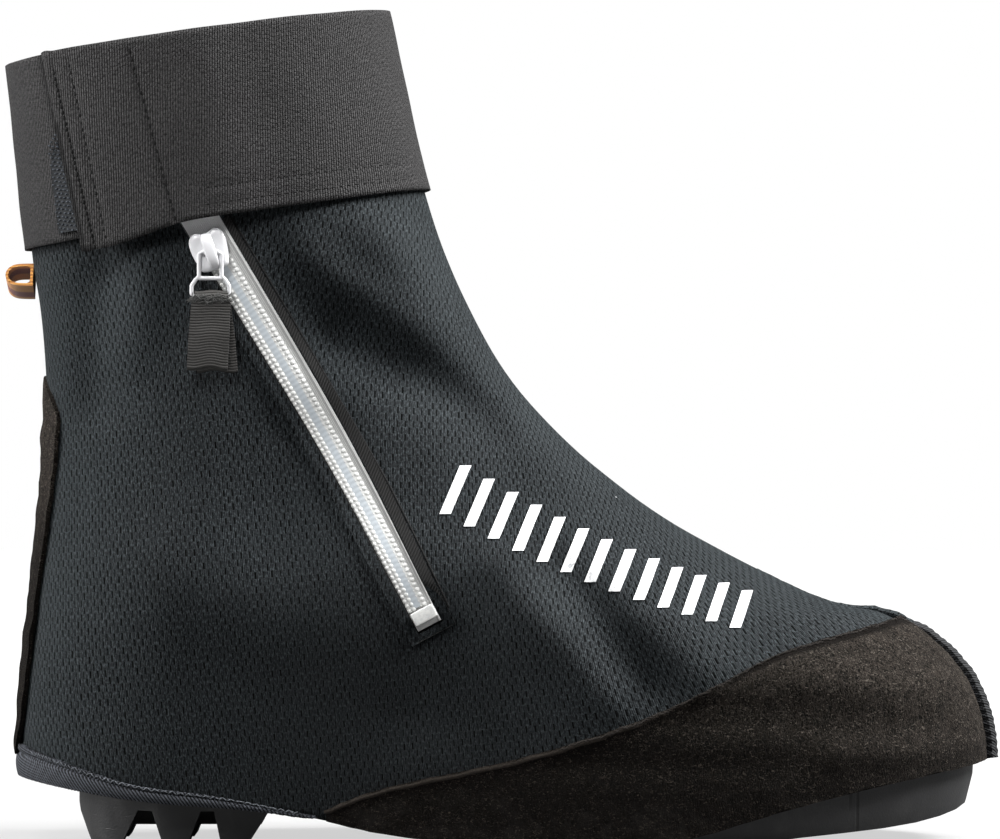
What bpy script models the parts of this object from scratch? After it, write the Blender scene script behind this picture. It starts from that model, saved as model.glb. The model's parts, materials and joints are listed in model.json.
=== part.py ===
"""Cross-country ski boot cover, right foot, standing on its ski sole.

Metres, +Z up, +X towards the toe, -Y towards the outer side that carries the zip.
The shell is a lofted wall through the sections of a boot last. Every sewn-on piece is a layer between
two offsets of that same wall, and the sole fills its lower opening.
"""

import math
from collections import namedtuple

import bmesh
import bpy
from mathutils import Matrix, Vector

# Driving dimensions
LENGTH = 0.310          # heel to toe along the shell
HEIGHT = 0.264          # floor to the front of the cuff's top edge
BALL_WIDTH = 0.106      # shell width across the ball of the foot
TOE_LEAN = 0.006        # how far the toe curves towards the inner side
WALL = 0.0018           # softshell cloth
SUEDE = 0.0014          # rand and heel strip
TAPE = 0.0012           # woven binding tape
ELASTIC = 0.0018        # cuff band
GAP = 0.0004            # clearance between sewn layers
RAND_GAP = 0.0006       # the same under the rand, which bends both ways
EDGE_GAP = 0.0003       # clearance between edges that meet, at the sole and the zip tape

# Sections of the last, from the hem to the top of the cuff.
# back and front are shares of LENGTH from the heel, back_z and front_z shares of HEIGHT,
# heel and ball shares of BALL_WIDTH, heel_round and toe_round shares of LENGTH.
Section = namedtuple("Section", "back front back_z front_z heel ball heel_round toe_round")
SECTIONS = (
    Section(0.008, 0.996, 0.081, 0.097, 0.73, 0.99, 0.155, 0.31),    # hem
    Section(0.006, 0.992, 0.136, 0.144, 0.77, 1.00, 0.160, 0.31),    # side of the sole
    Section(0.010, 0.969, 0.208, 0.208, 0.79, 0.96, 0.165, 0.34),    # toe wall
    Section(0.016, 0.902, 0.265, 0.272, 0.80, 0.90, 0.170, 0.42),    # top of the toe
    Section(0.019, 0.848, 0.302, 0.284, 0.80, 0.86, 0.175, 0.40),    # toe crease
    Section(0.024, 0.774, 0.352, 0.322, 0.80, 0.82, 0.178, 0.40),    # vamp
    Section(0.030, 0.651, 0.432, 0.402, 0.78, 0.77, 0.180, 0.37),    # instep
    Section(0.033, 0.532, 0.541, 0.523, 0.76, 0.74, 0.185, 0.29),    # ankle
    Section(0.026, 0.466, 0.644, 0.646, 0.77, 0.77, 0.190, 0.23),    # shin
    Section(0.017, 0.422, 0.712, 0.783, 0.81, 0.81, 0.200, 0.20),    # foot of the cuff
    Section(-0.003, 0.380, 0.934, 0.998, 0.83, 0.83, 0.193, 0.193),  # top of the cuff
)
CUFF_FOOT = len(SECTIONS) - 2.0
CUFF_TOP = len(SECTIONS) - 1.0
SHELL_TOP = CUFF_FOOT + 0.13    # the shell's edge, sewn inside the cuff
HEEL_END = 0.22                 # share of LENGTH where the heel's width ends
BALL_START = 0.62               # share of LENGTH where the ball's width begins
BLUNT = 2.2                     # 2 rounds heel and toe as ellipses, more is blunter
HEM_FADE = 2.6                  # sections above the hem that its dip reaches

# Lower edge of the cloth: height above the floor along the foot
Height = namedtuple("Height", "x z")
HEM = (
    Height(-0.1532, 0.0214), Height(-0.110, 0.0150), Height(-0.064, 0.0112), Height(-0.037, 0.0052),
    Height(-0.005, 0.0020), Height(0.034, 0.0016), Height(0.056, 0.0030), Height(0.078, 0.0100),
    Height(0.104, 0.0168), Height(0.130, 0.0220), Height(0.1544, 0.0256),
)
# Upper edge of the suede rand along the foot
RAND_TOP = (
    Height(-0.056, 0.0112), Height(-0.044, 0.0180), Height(-0.004, 0.0265), Height(0.032, 0.0365),
    Height(0.063, 0.0490), Height(0.083, 0.0595), Height(0.105, 0.0655), Height(0.140, 0.0730),
)
RAND_START = -0.054

# Binding tape: a standing seam over toe and vamp, and a flat edge round the heel
SEAM_TURN = 0.0095      # half width of the toe seam, as a share of the loop
SEAM_CLEAR = 0.0014     # the same for the gap between seam and rand
SEAM_TALL, SEAM_LOW = 0.0056, 0.0010    # at the toe and on the vamp
SEAM_SINK = (0.154, 0.923)              # where it sinks from tall to low, as shares of its run
SEAM_TOP = 5.1          # section where it ends
Crown = namedtuple("Crown", "across tall")
SEAM_CROWN = (Crown(-1.0, 0.62), Crown(-0.5, 0.92), Crown(0.0, 1.0), Crown(0.5, 0.92), Crown(1.0, 0.62))
HEM_TALL, HEM_LOW = 0.0066, 0.0034      # at the back seam and under the arch
HEM_CLEAR = 0.004       # share of the loop between the hem's tape and the rand

# Half width of the heel strip, as the depth that it reaches forward from the back seam
Reach = namedtuple("Reach", "z depth")
HEEL_STRIP = (
    Reach(0.0310, 0.0004), Reach(0.0420, 0.0026), Reach(0.0550, 0.0034), Reach(0.0750, 0.0035),
    Reach(0.0980, 0.0044), Reach(0.1180, 0.0055), Reach(0.1300, 0.0061), Reach(0.1390, 0.0046),
    Reach(0.1450, 0.0006),
)

# Sole: underside along the foot, with the forefoot flat on the floor and a sprung toe
SOLE_UNDER = (
    Height(-0.156, 0.0235), Height(-0.110, 0.0165), Height(-0.064, 0.0130), Height(-0.037, 0.0090),
    Height(-0.008, 0.0036), Height(0.014, 0.0), Height(0.062, 0.0), Height(0.092, 0.0036),
    Height(0.127, 0.0068), Height(0.144, 0.0102), Height(0.153, 0.0145),
)
SOLE_SEAT = 0.009       # how far the sole reaches up inside the cloth
SOLE_LIP = 0.0016       # where it starts to round in, above the hem
SIDE_INSET, SOLE_INSET = 0.0003, 0.0024     # halfway down its side and at the underside
SIDE_SHARE = 0.55       # height of halfway between the underside and the hem
SIDE_LIFT = 0.0008
FLAT_START, FLAT_END = 0.014, 0.062
GROOVE_START, GROOVE_END = 0.016, 0.139     # two guide grooves under the forefoot
GROOVE_DEPTH = 0.0026
GROOVE_WIDTH = 0.007
GROOVE_OFF_CENTRE = 0.014
GROOVE_LEAN = 0.0036    # their middle, off the heel's middle plane
TOE_SEAM_X = 0.109      # joint line round the side of the toe piece
TOE_SEAM_WIDTH = 0.0009
TOE_SEAM_DEPTH = 0.0008

# Heel lugs, each a tooth between a back and a front flank
Lug = namedtuple("Lug", "back_root back_tip front_tip front_root")
LUGS = (
    Lug(-0.1340, -0.1287, -0.1194, -0.1138),
    Lug(-0.1092, -0.1054, -0.0984, -0.0938),
    Lug(-0.0896, -0.0872, -0.0797, -0.0724),
)
LUG_ROOT_Z = 0.0114
HEEL_BACK = Height(-0.1388, 0.0215)
HEEL_FRONT = Height(-0.0684, 0.0165)
HEEL_HALF = 0.033
HEEL_INSET = 0.004      # the heel's plan is the hem's, moved in from the wall
HEEL_FORWARD = 0.012    # and moved forward from the back seam
CORE_HALF = 0.011       # bar between the two rows of lugs
CORE_Z, CORE_TOP = 0.0058, 0.0185
CORE_FRONT = -0.0757

# Zip line on the outer side
Zip = namedtuple("Zip", "x z half")
ZIP = (Zip(-0.0968, 0.2020, 0.0060), Zip(-0.0535, 0.1292, 0.0053), Zip(-0.0232, 0.0724, 0.0043))
SLOT_START, SLOT_END = -0.08, 1.026     # shares of the zip line
SLOT_ACROSS = (-0.1, -0.012)            # through the outer wall only
ZIP_TAPE_START, ZIP_TAPE_END = 0.005, 1.02
ZIP_TAPE_SUNK = 0.0003  # its face lies this far below the shell's
ZIP_TAPE = 0.0010
FACING_START, FACING_END = 0.06, 1.056
FACING_WIDTH = 0.0034   # folded cloth border beside the slot
FACING = 0.0007
CHAIN_START, CHAIN_END = 0.105, 0.955
CHAIN_HALF = 0.0036
CHAIN_HEIGHT = 0.0014
# Cross-section of the coil, in shares of its half width and height
CHAIN_PROFILE = ((-1.0, 0.0), (1.0, 0.0), (1.0, 0.45), (0.82, 1.0), (0.42, 1.0), (0.2, 0.5),
                 (-0.2, 0.5), (-0.42, 1.0), (-0.82, 1.0), (-1.0, 0.45))
STOP_LENGTH = 0.0044
STOP_HALF = 0.0038
STOP_LOW, STOP_HIGH = 0.0001, 0.0018
STOP_BEVEL = 0.0004
STOP_AT = 0.983         # share of the zip line
SLIDER_AT = 0.094
SLIDER_ACROSS = -0.0020 # it sits towards the back edge of the tape
SLIDER_HALF = 0.0058
SLIDER_LENGTH = 0.0120
SLIDER_LOW, SLIDER_HIGH = 0.0018, 0.0030
SLIDER_TURN = 13.0      # degrees that it stands steeper than the zip line
# One side of the slider's outline, in shares of its half width and half length
SLIDER_SIDE = ((0.78, -1.0), (0.83, -0.2), (1.0, 0.35), (0.7, 1.0))
BRIDGE_SPAN = (-0.55, 0.75)     # shares of its half length
BRIDGE_HALF = 0.0012
BRIDGE_RISE = 0.0032
BRIDGE_WEB = 0.0009
BRIDGE_ROOT = 0.0004    # how deep its feet reach into the slider's plate

# Cuff band, wound past its own start and closed by a hook-and-loop patch
CUFF_START = 0.200      # share of the loop from the back seam, on the outer side
FLAP_RISE = (0.300, 0.245)
FLAP_END_LOW, FLAP_END_HIGH = 0.146, 0.119
PATCH = 0.0008
PATCH_START, PATCH_END = 0.108, 0.195
PATCH_MARGIN = 0.06     # share of the band left bare above and below the patch
FLAP_LIFT = ELASTIC + PATCH + 2 * GAP

# Pull on the slider, and the loop on the back seam
WIRE = 0.0007           # wire radius of the bail
HINGE_OUT = SLIDER_HIGH + WIRE + GAP
HINGE_DOWN = -0.0008    # from the middle of the slider, along the zip
BAIL_NARROW = 0.0070
BAIL_WIDE = 0.0116
BAIL_NECK = 0.0082      # from the hinge down to the crossbar
BAIL_LENGTH = 0.0142
BAIL_BEND = 0.0012      # reach of its bends
BAIL_PIN = 0.7          # share of the narrow width that is straight in the bridge
TAB_WIDTH = 0.0126
TAB_LENGTH = 0.0245
TAB_WEB = 0.0011
TAB_FOLD = 0.0012
FOLD_LOW, FOLD_HIGH = 0.6, 0.5          # flat share of the fold below and round the wire
TAB_NECK = 0.0052       # where the webbing starts to gather towards the wire
TAB_GATHER = 0.56       # share of its width left at the wire
LOOP_REACH = 0.0090
LOOP_TALL = 0.0078
LOOP_WIDTH = 0.010
LOOP_WEB = 0.0009
LOOP_Z = 0.1765

# Facets and cutters
COLUMNS = 48            # round the shell
MIN_STEP = 0.006        # shortest facet, as a share of the loop
ROWS_PER_SECTION = 2.5
TUBE_SIDES = 10
SMOOTH_BELOW = 40.0     # degrees between facets that are shaded as one
OVER = 0.02             # how far a cutter reaches past what it cuts
MELD = 0.001            # overlap of solids that are joined

COLOURS = {
    "softshell": ((0.018, 0.022, 0.024), 0.80),
    "elastic": ((0.040, 0.038, 0.037), 0.90),
    "suede": ((0.028, 0.023, 0.020), 0.95),
    "binding": ((0.024, 0.027, 0.033), 0.85),
    "loop_pile": ((0.035, 0.038, 0.044), 0.95),
    "zip_white": ((0.72, 0.73, 0.74), 0.45),
    "slider_enamel": ((0.82, 0.82, 0.84), 0.30),
    "webbing": ((0.022, 0.020, 0.019), 0.85),
    "loop_tape": ((0.40, 0.17, 0.03), 0.70),
    "rubber": ((0.020, 0.020, 0.021), 0.55),
}


# Interpolation

def ease(share):
    share = min(max(share, 0.0), 1.0)
    return share * share * (3.0 - 2.0 * share)


def hermite(low, high, slope_low, slope_high, share):
    square, cube = share * share, share ** 3
    return ((2 * cube - 3 * square + 1) * low + (cube - 2 * square + share) * slope_low
            + (3 * square - 2 * cube) * high + (cube - square) * slope_high)


def height_at(table, x):
    """Smooth curve through a table of two columns, held level past its ends."""
    if x <= table[0][0]:
        return table[0][1]
    if x >= table[-1][0]:
        return table[-1][1]
    k = max(i for i in range(len(table) - 1) if table[i][0] <= x)

    def slope(i):
        before, after = table[max(i - 1, 0)], table[min(i + 1, len(table) - 1)]
        return (after[1] - before[1]) / (after[0] - before[0])

    span = table[k + 1][0] - table[k][0]
    share = (x - table[k][0]) / span
    return hermite(table[k][1], table[k + 1][1], slope(k) * span, slope(k + 1) * span, share)


def row_at(table, place):
    """All columns of a table at a place counted in rows, on a smooth curve through them."""
    last = len(table) - 1
    k = min(max(int(place), 0), last - 1)
    low, high = table[k], table[k + 1]
    before = table[k - 1] if k else [2 * a - b for a, b in zip(low, high)]
    after = table[k + 2] if k + 2 <= last else [2 * b - a for a, b in zip(low, high)]
    return type(low)(*(
        hermite(b, c, (c - a) / 2, (d - b) / 2, place - k)
        for a, b, c, d in zip(before, low, high, after)))


# The wall of the cover

def hem_height(x):
    return height_at(HEM, x)


def round_end(share):
    return math.sqrt(max(0.0, 1.0 - (1.0 - min(share, 1.0)) ** BLUNT))


def along_foot(section, x):
    """Share of a section's length at this x."""
    back = (section.back - 0.5) * LENGTH
    return (x - back) / ((section.front - section.back) * LENGTH)


def wall(turn, level):
    """Point on the shell's outer face. turn runs from the heel (0) round the outer side and toe (0.5),
    level counts sections up from the hem."""
    section = row_at(SECTIONS, level)
    along = (1.0 - math.cos(2 * math.pi * turn)) / 2
    span = section.front - section.back
    x = (section.back + along * span - 0.5) * LENGTH
    chord = (section.back_z + along * (section.front_z - section.back_z)) * HEIGHT
    fade = max(0.0, 1.0 - level / HEM_FADE) ** 2
    hem = SECTIONS[0]
    hem_chord = (hem.back_z + along_foot(hem, x) * (hem.front_z - hem.back_z)) * HEIGHT
    z = chord + (hem_height(x) - hem_chord) * fade
    spread = ease((x / LENGTH + 0.5 - HEEL_END) / (BALL_START - HEEL_END))
    width = (section.heel + (section.ball - section.heel) * spread) * BALL_WIDTH
    half = (width / 2 * round_end(along * span / section.heel_round)
            * round_end((1.0 - along) * span / section.toe_round))
    lean = TOE_LEAN * ease(x / LENGTH + 0.5) * max(0.0, 1.0 - level / CUFF_FOOT)
    outer_side = math.sin(2 * math.pi * turn) >= 0
    return Vector((x, lean - half if outer_side else lean + half, z))


def wall_off(turn, level, out):
    """Point at a distance outside the shell's outer face, or inside it if out is negative."""
    step = 0.002
    low, high = max(level - step, 0.0), min(level + step, CUFF_TOP)
    across = wall(turn + step, level) - wall(turn - step, level)
    upward = wall(turn, high) - wall(turn, low)
    return wall(turn, level) + across.cross(upward).normalized() * out


def level_at(turn, height, low=0.0, high=CUFF_TOP):
    """Level where the wall reaches the height that a function of x gives."""
    for _ in range(40):
        middle = (low + high) / 2
        point = wall(turn, middle)
        if point.z < height(point.x):
            low = middle
        else:
            high = middle
    return (low + high) / 2


def turn_at(level, x):
    """Turn on the outer side where the wall has this x."""
    along = min(max(along_foot(row_at(SECTIONS, level), x), 0.0), 1.0)
    return math.acos(1.0 - 2.0 * along) / (2 * math.pi)


def outer_spot(x, z):
    """Turn and level of the wall's outer side at this place in the side view."""
    low, high = 0.0, CUFF_TOP
    for _ in range(40):
        middle = (low + high) / 2
        if wall(turn_at(middle, x), middle).z < z:
            low = middle
        else:
            high = middle
    return turn_at(low, x), low


# Mesh building

def material_of(name):
    known = bpy.data.materials.get(name)
    if known:
        return known
    colour, roughness = COLOURS[name]
    made = bpy.data.materials.new(name)
    made.use_nodes = True
    shader = made.node_tree.nodes["Principled BSDF"]
    shader.inputs["Base Color"].default_value = (*colour, 1.0)
    shader.inputs["Roughness"].default_value = roughness
    return made


def add_object(name, points, faces, material=None):
    """Closed mesh from points and faces. Without a material it is a hidden cutter."""
    bm = bmesh.new()
    made = [bm.verts.new(p) for p in points]
    for face in faces:
        bm.faces.new([made[i] for i in face])
    bmesh.ops.recalc_face_normals(bm, faces=bm.faces)
    mesh = bpy.data.meshes.new(name)
    bm.to_mesh(mesh)
    bm.free()
    obj = bpy.data.objects.new(name, mesh)
    bpy.context.scene.collection.objects.link(obj)
    if material:
        mesh.materials.append(material_of(material))
        mesh.shade_smooth()
        mesh.set_sharp_from_angle(angle=math.radians(SMOOTH_BELOW))
    else:
        obj.hide_render = True
        obj.display_type = "WIRE"
    return obj


def combine(obj, other, operation):
    """Boolean with a hidden object."""
    made = obj.modifiers.new(f"{operation.lower()} {other.name}", "BOOLEAN")
    made.object = other
    made.operation = operation
    made.solver = "EXACT"


def add_layer(name, columns, rows, place, material=None, loop=False):
    """Solid between two sheets of a grid. place(column, row, outside) gives each corner."""
    points = [place(i, j, side) for side in (False, True) for j in range(rows) for i in range(columns)]

    def index(i, j, side):
        return side * rows * columns + j * columns + i % columns

    steps = columns if loop else columns - 1
    faces = []
    for i in range(steps):
        for j in range(rows - 1):
            corners = ((i, j), (i + 1, j), (i + 1, j + 1), (i, j + 1))
            faces += [[index(a, b, side) for a, b in corners] for side in (0, 1)]
        for j in (0, rows - 1):
            faces.append([index(i, j, 0), index(i + 1, j, 0), index(i + 1, j, 1), index(i, j, 1)])
    if not loop:
        for i in (0, columns - 1):
            for j in range(rows - 1):
                faces.append([index(i, j, 0), index(i, j + 1, 0), index(i, j + 1, 1), index(i, j, 1)])
    return add_object(name, points, faces, material)


def add_prism(name, outline, start, end, material=None):
    """Outline in the side view, given as x and z, carried across from y start to y end."""
    count = len(outline)
    points = [Vector((x, y, z)) for y in (start, end) for x, z in outline]
    faces = [list(range(count)), list(range(count, 2 * count))]
    faces += [[i, (i + 1) % count, count + (i + 1) % count, count + i] for i in range(count)]
    return add_object(name, points, faces, material)


def add_box(name, low, high, material=None):
    outline = [(low[0], low[2]), (high[0], low[2]), (high[0], high[2]), (low[0], high[2])]
    return add_prism(name, outline, low[1], high[1], material)


def add_sweep(name, rings, material, closed=False):
    """Solid through rings of equal point counts, capped at both ends unless it closes on itself."""
    count, size = len(rings), len(rings[0])
    points = [p for ring in rings for p in ring]
    faces = []
    for k in range(count if closed else count - 1):
        here, there = k * size, (k + 1) % count * size
        faces += [[here + i, here + (i + 1) % size, there + (i + 1) % size, there + i] for i in range(size)]
    if not closed:
        faces += [list(range(size)), list(range((count - 1) * size, count * size))]
    return add_object(name, points, faces, material)


def circle_ring(centre, first, second, radius):
    angles = [2 * math.pi * k / TUBE_SIDES for k in range(TUBE_SIDES)]
    return [centre + (first * math.cos(a) + second * math.sin(a)) * radius for a in angles]


# Cloth pieces

def add_patch(name, turns, edges, rows, inner, outer, material):
    """Sewn-on piece: for each turn, from a lower to an upper level."""
    def place(i, j, outside):
        low, high = edges[i]
        share = j / (rows - 1)
        out = outer(i, j) if callable(outer) else outer
        return wall_off(turns[i], low + (high - low) * share, out if outside else inner)

    return add_layer(name, len(turns), rows, place, material)


def add_shell():
    """Hollow upper from the hem to inside the cuff, slotted from its top edge for the zip."""
    rows = round(SHELL_TOP * ROWS_PER_SECTION) + 1

    def place(i, j, outside):
        return wall_off(i / COLUMNS, SHELL_TOP * j / (rows - 1), 0.0 if outside else -WALL)

    shell = add_layer("shell", COLUMNS, rows, place, "softshell", loop=True)
    slot = add_prism("zip slot", zip_outline(0.0, SLOT_START, SLOT_END), *SLOT_ACROSS)
    combine(shell, slot, "DIFFERENCE")
    return shell


def add_rand(name, side):
    """Suede rand on one side, from under the arch to the toe seam. side is 1 outside, -1 inside."""
    start = turn_at(0.0, RAND_START)
    end = 0.5 - SEAM_TURN - SEAM_CLEAR
    inside = [k / COLUMNS for k in range(COLUMNS) if start + MIN_STEP < k / COLUMNS < end - MIN_STEP]
    turns = [side * turn for turn in [start, *inside, end]]
    edges = [(0.0, level_at(turn, lambda x: height_at(RAND_TOP, x))) for turn in turns]
    return add_patch(name, turns, edges, 8, RAND_GAP, RAND_GAP + SUEDE, "suede")


def add_toe_seam():
    """Bound seam that stands up along the middle of the toe and vamp."""
    turns = [0.5 + SEAM_TURN * crown.across for crown in SEAM_CROWN]
    rows = 22
    start, end = SEAM_SINK

    def height(i, j):
        sink = ease((j / (rows - 1) - start) / (end - start))
        return GAP + SEAM_CROWN[i].tall * (SEAM_TALL + (SEAM_LOW - SEAM_TALL) * sink)

    edges = [(0.0, SEAM_TOP)] * len(turns)
    return add_patch("toe_seam_binding", turns, edges, rows, GAP, height, "binding")


def add_hem_binding():
    """Tape over the cloth's edge, round the heel from one rand to the other."""
    reach = turn_at(0.0, RAND_START) - HEM_CLEAR
    columns = 23
    turns = [reach * (2.0 * i / (columns - 1) - 1.0) for i in range(columns)]
    edges = []
    for turn in turns:
        rise = HEM_TALL + (HEM_LOW - HEM_TALL) * ease(abs(turn) / reach)
        edges.append((0.0, level_at(turn, lambda x: hem_height(x) + rise)))
    return add_patch("hem_binding", turns, edges, 3, GAP, GAP + TAPE, "binding")


def add_heel_strip():
    """Leaf-shaped suede strip up the back seam."""
    shares = (-1.0, -0.66, -0.33, 0.0, 0.33, 0.66, 1.0)
    rows = 21
    low, high = HEEL_STRIP[0].z, HEEL_STRIP[-1].z

    def place(i, j, outside):
        z = low + (high - low) * (1.0 - math.cos(math.pi * j / (rows - 1))) / 2
        level = level_at(0.0, lambda x: z)
        back = wall(0.0, level).x
        reach = turn_at(level, back + height_at(HEEL_STRIP, z))
        return wall_off(shares[i] * reach, level, GAP + SUEDE if outside else GAP)

    return add_layer("heel_strip", len(shares), rows, place, "suede")


def flap_lift(turn):
    """How far the band stands off the wall where its end laps over its start."""
    high, low = FLAP_RISE
    return FLAP_LIFT * ease((high - turn) / (high - low))


def add_cuff():
    """Elastic band wound from behind the zip, round the back and front, over its own start."""
    columns, rows = 57, 5

    def place(i, j, outside):
        height = j / (rows - 1)
        end = FLAP_END_LOW + (FLAP_END_HIGH - FLAP_END_LOW) * height
        turn = CUFF_START + (end - 1.0 - CUFF_START) * i / (columns - 1)
        lift = flap_lift(turn + 1.0) if turn < -0.5 else 0.0
        level = CUFF_FOOT + (CUFF_TOP - CUFF_FOOT) * height
        return wall_off(turn, level, GAP + lift + (ELASTIC if outside else 0.0))

    return add_layer("cuff_band", columns, rows, place, "elastic")


def add_loop_patch():
    """Pile patch on the band's start, under the flap."""
    columns, rows = 9, 5
    inner = 2 * GAP + ELASTIC

    def place(i, j, outside):
        turn = PATCH_START + (PATCH_END - PATCH_START) * i / (columns - 1)
        height = PATCH_MARGIN + (1.0 - 2.0 * PATCH_MARGIN) * j / (rows - 1)
        level = CUFF_FOOT + (CUFF_TOP - CUFF_FOOT) * height
        return wall_off(turn, level, inner + (PATCH if outside else 0.0))

    return add_layer("loop_patch", columns, rows, place, "loop_pile")


def add_heel_loop():
    """Small tape loop standing out of the back seam."""
    level = level_at(0.0, lambda x: LOOP_Z)
    base = wall(0.0, level).x - 2 * GAP
    steps = 7
    outer, inner = [], []
    for k in range(steps):
        angle = math.pi / 2 + math.pi * k / (steps - 1)
        for ring, thin in ((outer, 0.0), (inner, LOOP_WEB)):
            ring.append((base - LOOP_REACH / 2 + (LOOP_REACH / 2 - thin) * math.cos(angle),
                         LOOP_Z + (LOOP_TALL / 2 - thin) * math.sin(angle)))
    foot = base - LOOP_WEB
    outer += [(base, LOOP_Z - LOOP_TALL / 2), (base, LOOP_Z + LOOP_TALL / 2)]
    inner += [(foot, LOOP_Z - LOOP_TALL / 2 + LOOP_WEB), (foot, LOOP_Z + LOOP_TALL / 2 - LOOP_WEB)]
    rings = []
    for a, b in zip(outer, inner):
        rings.append([Vector((x, y, z)) for (x, z), y in
                      ((a, -LOOP_WIDTH / 2), (a, LOOP_WIDTH / 2), (b, LOOP_WIDTH / 2), (b, -LOOP_WIDTH / 2))])
    return add_sweep("heel_loop", rings, "loop_tape", closed=True)


# Zip

def zip_row(share):
    """Place and half width along the zip line, carried on straight past its ends."""
    last = len(ZIP) - 1
    end = min(max(share, 0.0), 1.0)
    here = row_at(ZIP, end * last)
    if share == end:
        return here
    inner = 0.98 * end + 0.01
    past = (share - end) / (end - inner)
    return Zip(*(a + (a - b) * past for a, b in zip(here, row_at(ZIP, inner * last))))


def zip_frame(share):
    """Place in the side view, direction down the zip and direction across it."""
    step = 0.01
    here, before, after = zip_row(share), zip_row(share - step), zip_row(share + step)
    down = Vector((after.x - before.x, after.z - before.z)).normalized()
    return Vector((here.x, here.z)), down, Vector((-down.y, down.x))


def zip_spot(share, across):
    centre, _, side = zip_frame(share)
    return centre + side * across


def zip_outline(grow, start, end):
    """Outline round the zip in the side view, grown by a margin: down its front side, up its back side."""
    count = 17
    shares = [start + (end - start) * k / (count - 1) for k in range(count)]
    halves = [zip_row(min(max(share, 0.0), 1.0)).half + grow for share in shares]
    front = [zip_spot(share, -half) for share, half in zip(shares, halves)]
    back = [zip_spot(share, half) for share, half in zip(shares, halves)]
    return [tuple(spot) for spot in front + back[::-1]]


def on_side(spot, out):
    return wall_off(*outer_spot(spot[0], spot[1]), out)


def add_zip_tape():
    """Tape that fills the slot in the shell."""
    columns, rows = 21, 4

    def place(i, j, outside):
        share = ZIP_TAPE_START + (ZIP_TAPE_END - ZIP_TAPE_START) * i / (columns - 1)
        half = zip_row(min(share, 1.0)).half - EDGE_GAP
        across = half * (2.0 * j / (rows - 1) - 1.0)
        return on_side(zip_spot(share, across), -ZIP_TAPE_SUNK - (0.0 if outside else ZIP_TAPE))

    return add_layer("zip_tape", columns, rows, place, "zip_white")


def add_zip_facing():
    """Folded border along both sides of the slot and round its lower end."""
    window = zip_outline(0.0, FACING_START, SLOT_END)
    outlines = (window, zip_outline(FACING_WIDTH, FACING_START, FACING_END))

    def place(i, j, outside):
        return on_side(outlines[j][i], GAP + (FACING if outside else 0.0))

    return add_layer("zip_facing", len(window), 2, place, "binding")


def add_zip_chain():
    """Two rows of coil, closed, with the valley between them."""
    count = 19
    rings = []
    for k in range(count):
        share = CHAIN_START + (CHAIN_END - CHAIN_START) * k / (count - 1)
        rings.append([on_side(zip_spot(share, across * CHAIN_HALF), tall * CHAIN_HEIGHT)
                      for across, tall in CHAIN_PROFILE])
    return add_sweep("zip_chain", rings, "zip_white")


def side_frame(share):
    """Placement on the wall at the zip: X across the zip, Y up it, Z out of the cloth."""
    centre, down, _ = zip_frame(share)
    step = 0.004
    origin = on_side(centre, 0.0)
    up = (on_side(centre - down * step, 0.0) - on_side(centre + down * step, 0.0)).normalized()
    across = on_side(zip_spot(share, step), 0.0) - on_side(zip_spot(share, -step), 0.0)
    out = across.cross(up).normalized()
    out = out if out.y < 0 else -out
    across = up.cross(out)
    return Matrix.Translation(origin) @ Matrix((across, up, out)).transposed().to_4x4()


def add_bottom_stop():
    """Moulded block that ends the chain."""
    low = (-STOP_HALF, -STOP_LENGTH / 2, STOP_LOW)
    high = (STOP_HALF, STOP_LENGTH / 2, STOP_HIGH)
    stop = add_box("zip_bottom_stop", low, high, "slider_enamel")
    stop.matrix_world = side_frame(STOP_AT)
    edges = stop.modifiers.new("edges", "BEVEL")
    edges.width = STOP_BEVEL
    edges.segments = 2
    edges.limit_method = "ANGLE"
    return stop


def slider_frame():
    middle = side_frame(SLIDER_AT) @ Matrix.Translation((SLIDER_ACROSS, 0.0, 0.0))
    return middle @ Matrix.Rotation(math.radians(-SLIDER_TURN), 4, "Z")


def add_slider():
    """Shield-shaped plate over the chain, with a raised bridge for the bail."""
    frame = slider_frame()
    reach = SLIDER_LENGTH / 2
    right = [(across * SLIDER_HALF, along * reach) for across, along in SLIDER_SIDE]
    outline = right + [(-x, y) for x, y in reversed(right)]
    rings = [[Vector((x, y, z)) for x, y in outline] for z in (SLIDER_LOW, SLIDER_HIGH)]
    slider = add_sweep("zip_slider", rings, "slider_enamel")
    slider.matrix_world = frame
    top, web = SLIDER_HIGH + BRIDGE_RISE, BRIDGE_WEB
    root = SLIDER_HIGH - BRIDGE_ROOT
    start, end = (share * reach for share in BRIDGE_SPAN)
    arch = [(start - web, root), (start - web, top - web), (start, top), (end, top), (end + web, top - web),
            (end + web, root), (end, root), (end, top - 2 * web), (end - web, top - web),
            (start + web, top - web), (start, top - 2 * web), (start, root)]
    rings = [[Vector((x, y, z)) for y, z in arch] for x in (-BRIDGE_HALF, BRIDGE_HALF)]
    bridge = add_sweep("slider bridge", rings, None)
    bridge.matrix_world = frame
    combine(slider, bridge, "UNION")
    return slider


def pull_frame():
    """Hinge of the bail in the slider's bridge: X along the hinge pin, Y up, Z out of the cloth.
    Y is set so that the webbing lies along the wall, as far from it below as at the hinge."""
    slider = slider_frame()
    origin = slider @ Vector((0.0, HINGE_DOWN, HINGE_OUT))
    out = (slider.to_3x3() @ Vector((0, 0, 1))).normalized()
    below = on_side((origin.x, origin.z - BAIL_LENGTH - TAB_LENGTH), HINGE_OUT + GAP)
    up = (origin - below).normalized()
    along = up.cross(out).normalized()
    return Matrix.Translation(origin) @ Matrix((along, up, along.cross(up))).transposed().to_4x4()


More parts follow.
